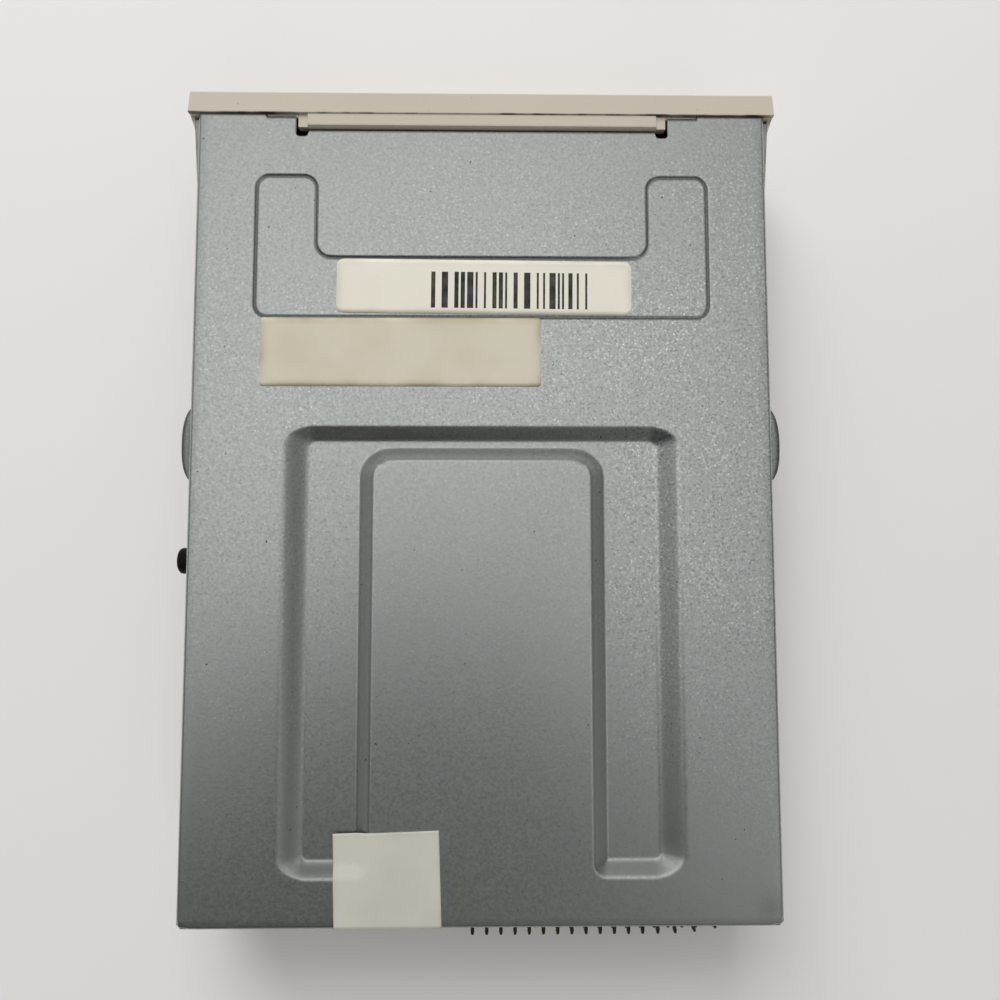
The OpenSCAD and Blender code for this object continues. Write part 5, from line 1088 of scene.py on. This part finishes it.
def buildEjectSprings():
    # A helix along y as a round wire: the end turns lie wire to wire and the others share the rest.
    look = ejectSprings
    (first, last), wire, closed, turns = (look[key] for key in ("ends", "wire", "closed", "turns"))
    turn = np.linspace(0, turns, look["stations"])
    stack = wire + 2 * wire * closed
    y = np.interp(turn, (0, closed, turns - closed, turns),
                  (first + wire, first + stack, last - stack, last - wire))
    angle = 2 * math.pi * turn
    out = np.stack([np.sin(angle), 0 * angle, np.cos(angle)], -1)
    path = out * look["radius"] + np.stack([0 * y, y, 0 * y + look["z"]], -1)
    travel = np.gradient(path, axis=0)
    across = np.cross(travel / np.linalg.norm(travel, axis=-1, keepdims=True), out)
    around = roundOf(look["sides"])[None, :, None]
    coil = path[:, None] + wire * (np.cos(around) * out[:, None] + np.sin(around) * across[:, None])
    sides = np.array([[-look["x"], 0, 0], [look["x"], 0, 0]])
    springs = makeTubes("ejectSprings", coil + sides[:, None, None], None, "spring_wire", sharp=60.0)
    start, end = toMetres([[0, first, look["z"]], [0, last, look["z"]]])
    tuple(start)
    tuple(end)
    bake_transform(springs)
    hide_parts("eject_springs")


mountThreads = {"bottom": ((47.625, 31), (47.625, 101), (-47.625, 31), (-47.625, 101)),
                "bottomZ": (0.1, 2.1), "sideY": (21, 91), "sideZ": 5.0, "sideX": (48.75, 50.65),
                "hole": 1.26, "ridge": 0.15, "pitch": 0.5, "columns": 24, "rows": 33}


def buildMountThreads():
    # A thread in each mounting hole: an inner wall with a ridge that climbs one pitch a turn, closed by an
    # outer wall that lies in the sheet.
    look = mountThreads
    low, high = look["bottomZ"]
    near, far = look["sideX"]
    angle = roundOf(look["columns"])[None, :]
    share = np.concatenate([[0], np.linspace(0, 1, look["rows"]), [1]])[:, None]
    turn = share * (high - low) / look["pitch"] - angle / (2 * math.pi)
    ridge = look["ridge"] * (1 - 2 * np.abs(turn - np.floor(turn) - 0.5))
    ridge[[0, -1]] = 0
    radius = look["hole"] - ridge
    u, v, w = radius * np.cos(angle), radius * np.sin(angle), share + 0 * angle
    holes = [np.stack([x + u, y + v, low + (high - low) * w], -1) for x, y in look["bottom"]]
    for sign in (-1, 1):
        depth = sign * (near + (far - near) * w)
        holes += [np.stack([depth, y + sign * u, look["sideZ"] + v], -1) for y in look["sideY"]]
    points = np.stack(holes)
    count, rows, cols = points.shape[:3]
    wrapped = gridFaces(rows + 1, cols, True) % (rows * cols)
    faces = (wrapped.ravel() + (np.arange(count) * rows * cols)[:, None]).reshape(-1, 4)
    makePiece("mountThreads", points, faces, "drive", "chassis_steel")


for screwName, screwLook in screwSets.items():
    buildScrews(screwName, screwLook)
buildLeadScrew()
buildEjectSprings()
buildMountThreads()
print("stage: screws and threads")

# Stage, light and camera

studio = {
    "floor": (0.83, 0.815, 0.80), "floorSize": 6.0, "floorRough": 0.9, "floorCloud": (3.0, 2.0),
    "floorTone": 0.97, "tint": (1.0, 0.995, 0.985), "around": 0.148, "frontGain": 0.25, "rearLoss": 0.05,
    "sideGain": 0.03, "rightGain": 0.045, "leftLoss": 0.7, "horizonGain": 0.55, "horizon": (0.0, 0.35),
    "least": 0.06, "low": 0.05,
    "panel": 0.94, "panelRear": (-0.062, 0.094), "panelFront": (-0.95, -0.45), "panelSide": (0.4, 0.66),
    "panelCurve": 1.9, "panelTilt": 0.36, "panelLean": 0.68,
    "keyLight": {"power": 5.2, "size": 0.6, "place": (0.15, -0.6, 0.57)},
    "rearLight": {"power": 1.05, "size": 0.6, "place": (-0.1, 0.62, 0.5)},
}


def buildFloor():
    # A flat square under the drive.
    s = studio["floorSize"] / 2
    mesh = bpy.data.meshes.new("floor")
    mesh.from_pydata([(-s, -s, 0), (s, -s, 0), (s, s, 0), (-s, s, 0)], [], [(0, 1, 2, 3)])
    floor = bpy.data.objects.new("floor", mesh)
    bpy.context.scene.collection.objects.link(floor)
    pale = finish("floorPale", studio["floor"], studio["floorRough"])
    cloud = pale.noise(*studio["floorCloud"])
    pale.paint(Base_Color=pale.mix(cloud, studio["floor"], toned(studio["floor"], studio["floorTone"])))
    mesh.materials.append(pale.material)


def buildWorld():
    # Surroundings a little brighter to the front and the sides, with one soft bright panel overhead.
    # A direction's place on the panel is (x / z, y / z); the panel fades out over each pair of limits,
    # and is tilted and stronger towards +X.
    look = studio
    world = bpy.data.worlds.new("studioWorld")
    bpy.context.scene.world = world
    world.use_nodes = True
    sky = nodeTree(world.node_tree, "Generated")

    def fade(value, limits, toLow, toHigh):
        return sky.span(value, *limits, toLow, toHigh, interpolation_type="SMOOTHSTEP")

    acrossX, alongY, upZ = sky.axes()
    height = sky.calc("MAXIMUM", upZ, look["low"])
    sideways, backward = (sky.calc("DIVIDE", axis, height) for axis in (acrossX, alongY))
    tilted = sky.plus(backward, sky.times(sideways, look["panelTilt"]))
    bowed = sky.calc("SUBTRACT", tilted, sky.times(sideways, sideways, look["panelCurve"]))
    panel = sky.times(fade(bowed, look["panelRear"], 1.0, 0.0),
                      fade(backward, look["panelFront"], 0.0, 1.0),
                      fade(sky.calc("ABSOLUTE", sideways), look["panelSide"], 1.0, 0.0),
                      sky.calc("GREATER_THAN", upZ, look["low"]),
                      sky.plus(sky.times(acrossX, look["panelLean"]), 1.0))
    # around = base + front gain for -Y - rear loss for +Y + side gain by x squared + right gain by x
    # - left loss by x and height for +Y, never under the least, + a gain that ends above the horizon
    behind = sky.calc("MAXIMUM", alongY, 0.0)
    gains = sky.plus(sky.times(sky.calc("MINIMUM", alongY, 0.0), -look["frontGain"]),
                     sky.times(behind, -look["rearLoss"]), sky.times(acrossX, acrossX, look["sideGain"]),
                     sky.times(acrossX, look["rightGain"]),
                     sky.times(acrossX, behind, -look["leftLoss"], upZ), look["around"])
    horizon = fade(upZ, look["horizon"], look["horizonGain"], 0.0)
    around = sky.plus(sky.calc("MAXIMUM", gains, look["least"]), horizon)
    level = sky.plus(around, sky.times(panel, look["panel"] - look["around"]))
    sky.feed(world.node_tree.nodes["Background"], {"Color": look["tint"], "Strength": level})


def placeObject(data, axes, place):
    # An object whose own axes are the three columns, at a place in metres.
    pose = np.eye(4)
    pose[:3, :3] = axes
    pose[:3, 3] = place
    made = bpy.data.objects.new(data.name, data)
    made.matrix_world = Matrix(pose.tolist())
    bpy.context.scene.collection.objects.link(made)
    return made


def buildLight(name):
    # A square soft light that faces the origin and isn't seen in the metal.
    look = studio[name]
    data = bpy.data.lights.new(name, "AREA")
    data.shape = "SQUARE"
    data.size = look["size"]
    data.energy = look["power"]
    place = np.array(look["place"])
    back = place / np.linalg.norm(place)
    right = np.cross([0, 0, 1], back)
    right /= np.linalg.norm(right)
    placeObject(data, np.stack([right, np.cross(back, right), back], 1), place).visible_glossy = False


photoCamera = {"lens": 30.68, "sensor": 36.0, "near": 0.01, "place": (-0.912, 78.543, 167.349),
               "turns": (-0.080251, -0.0147221, 0.000572)}


def turnAbout(axis, angle):
    # Rotation about one axis: cosines on the diagonal of the two others and sines across.
    i, j = (axis + 1) % 3, (axis + 2) % 3
    turn = np.eye(3)
    turn[i, i] = turn[j, j] = math.cos(angle)
    turn[j, i] = math.sin(angle)
    turn[i, j] = -turn[j, i]
    return turn


def buildCamera():
    # Looks down with the bezel at the picture's top; the three small turns are about the camera's axes.
    turnX, turnY, turnZ = (turnAbout(axis, angle) for axis, angle in enumerate(photoCamera["turns"]))
    rows = turnZ @ turnY @ turnX @ np.diag([-1.0, 1.0, -1.0])
    data = bpy.data.cameras.new("photoCamera")
    data.lens = photoCamera["lens"]
    data.sensor_width = photoCamera["sensor"]
    data.clip_start = photoCamera["near"]
    axes = np.stack([rows[0], -rows[1], -rows[2]], 1)
    bpy.context.scene.camera = placeObject(data, axes, toMetres(photoCamera["place"]))


buildFloor()
buildWorld()
buildLight("keyLight")
buildLight("rearLight")
buildCamera()
bpy.context.scene.view_settings.view_transform = "Standard"
print("stage: floor, light and camera")
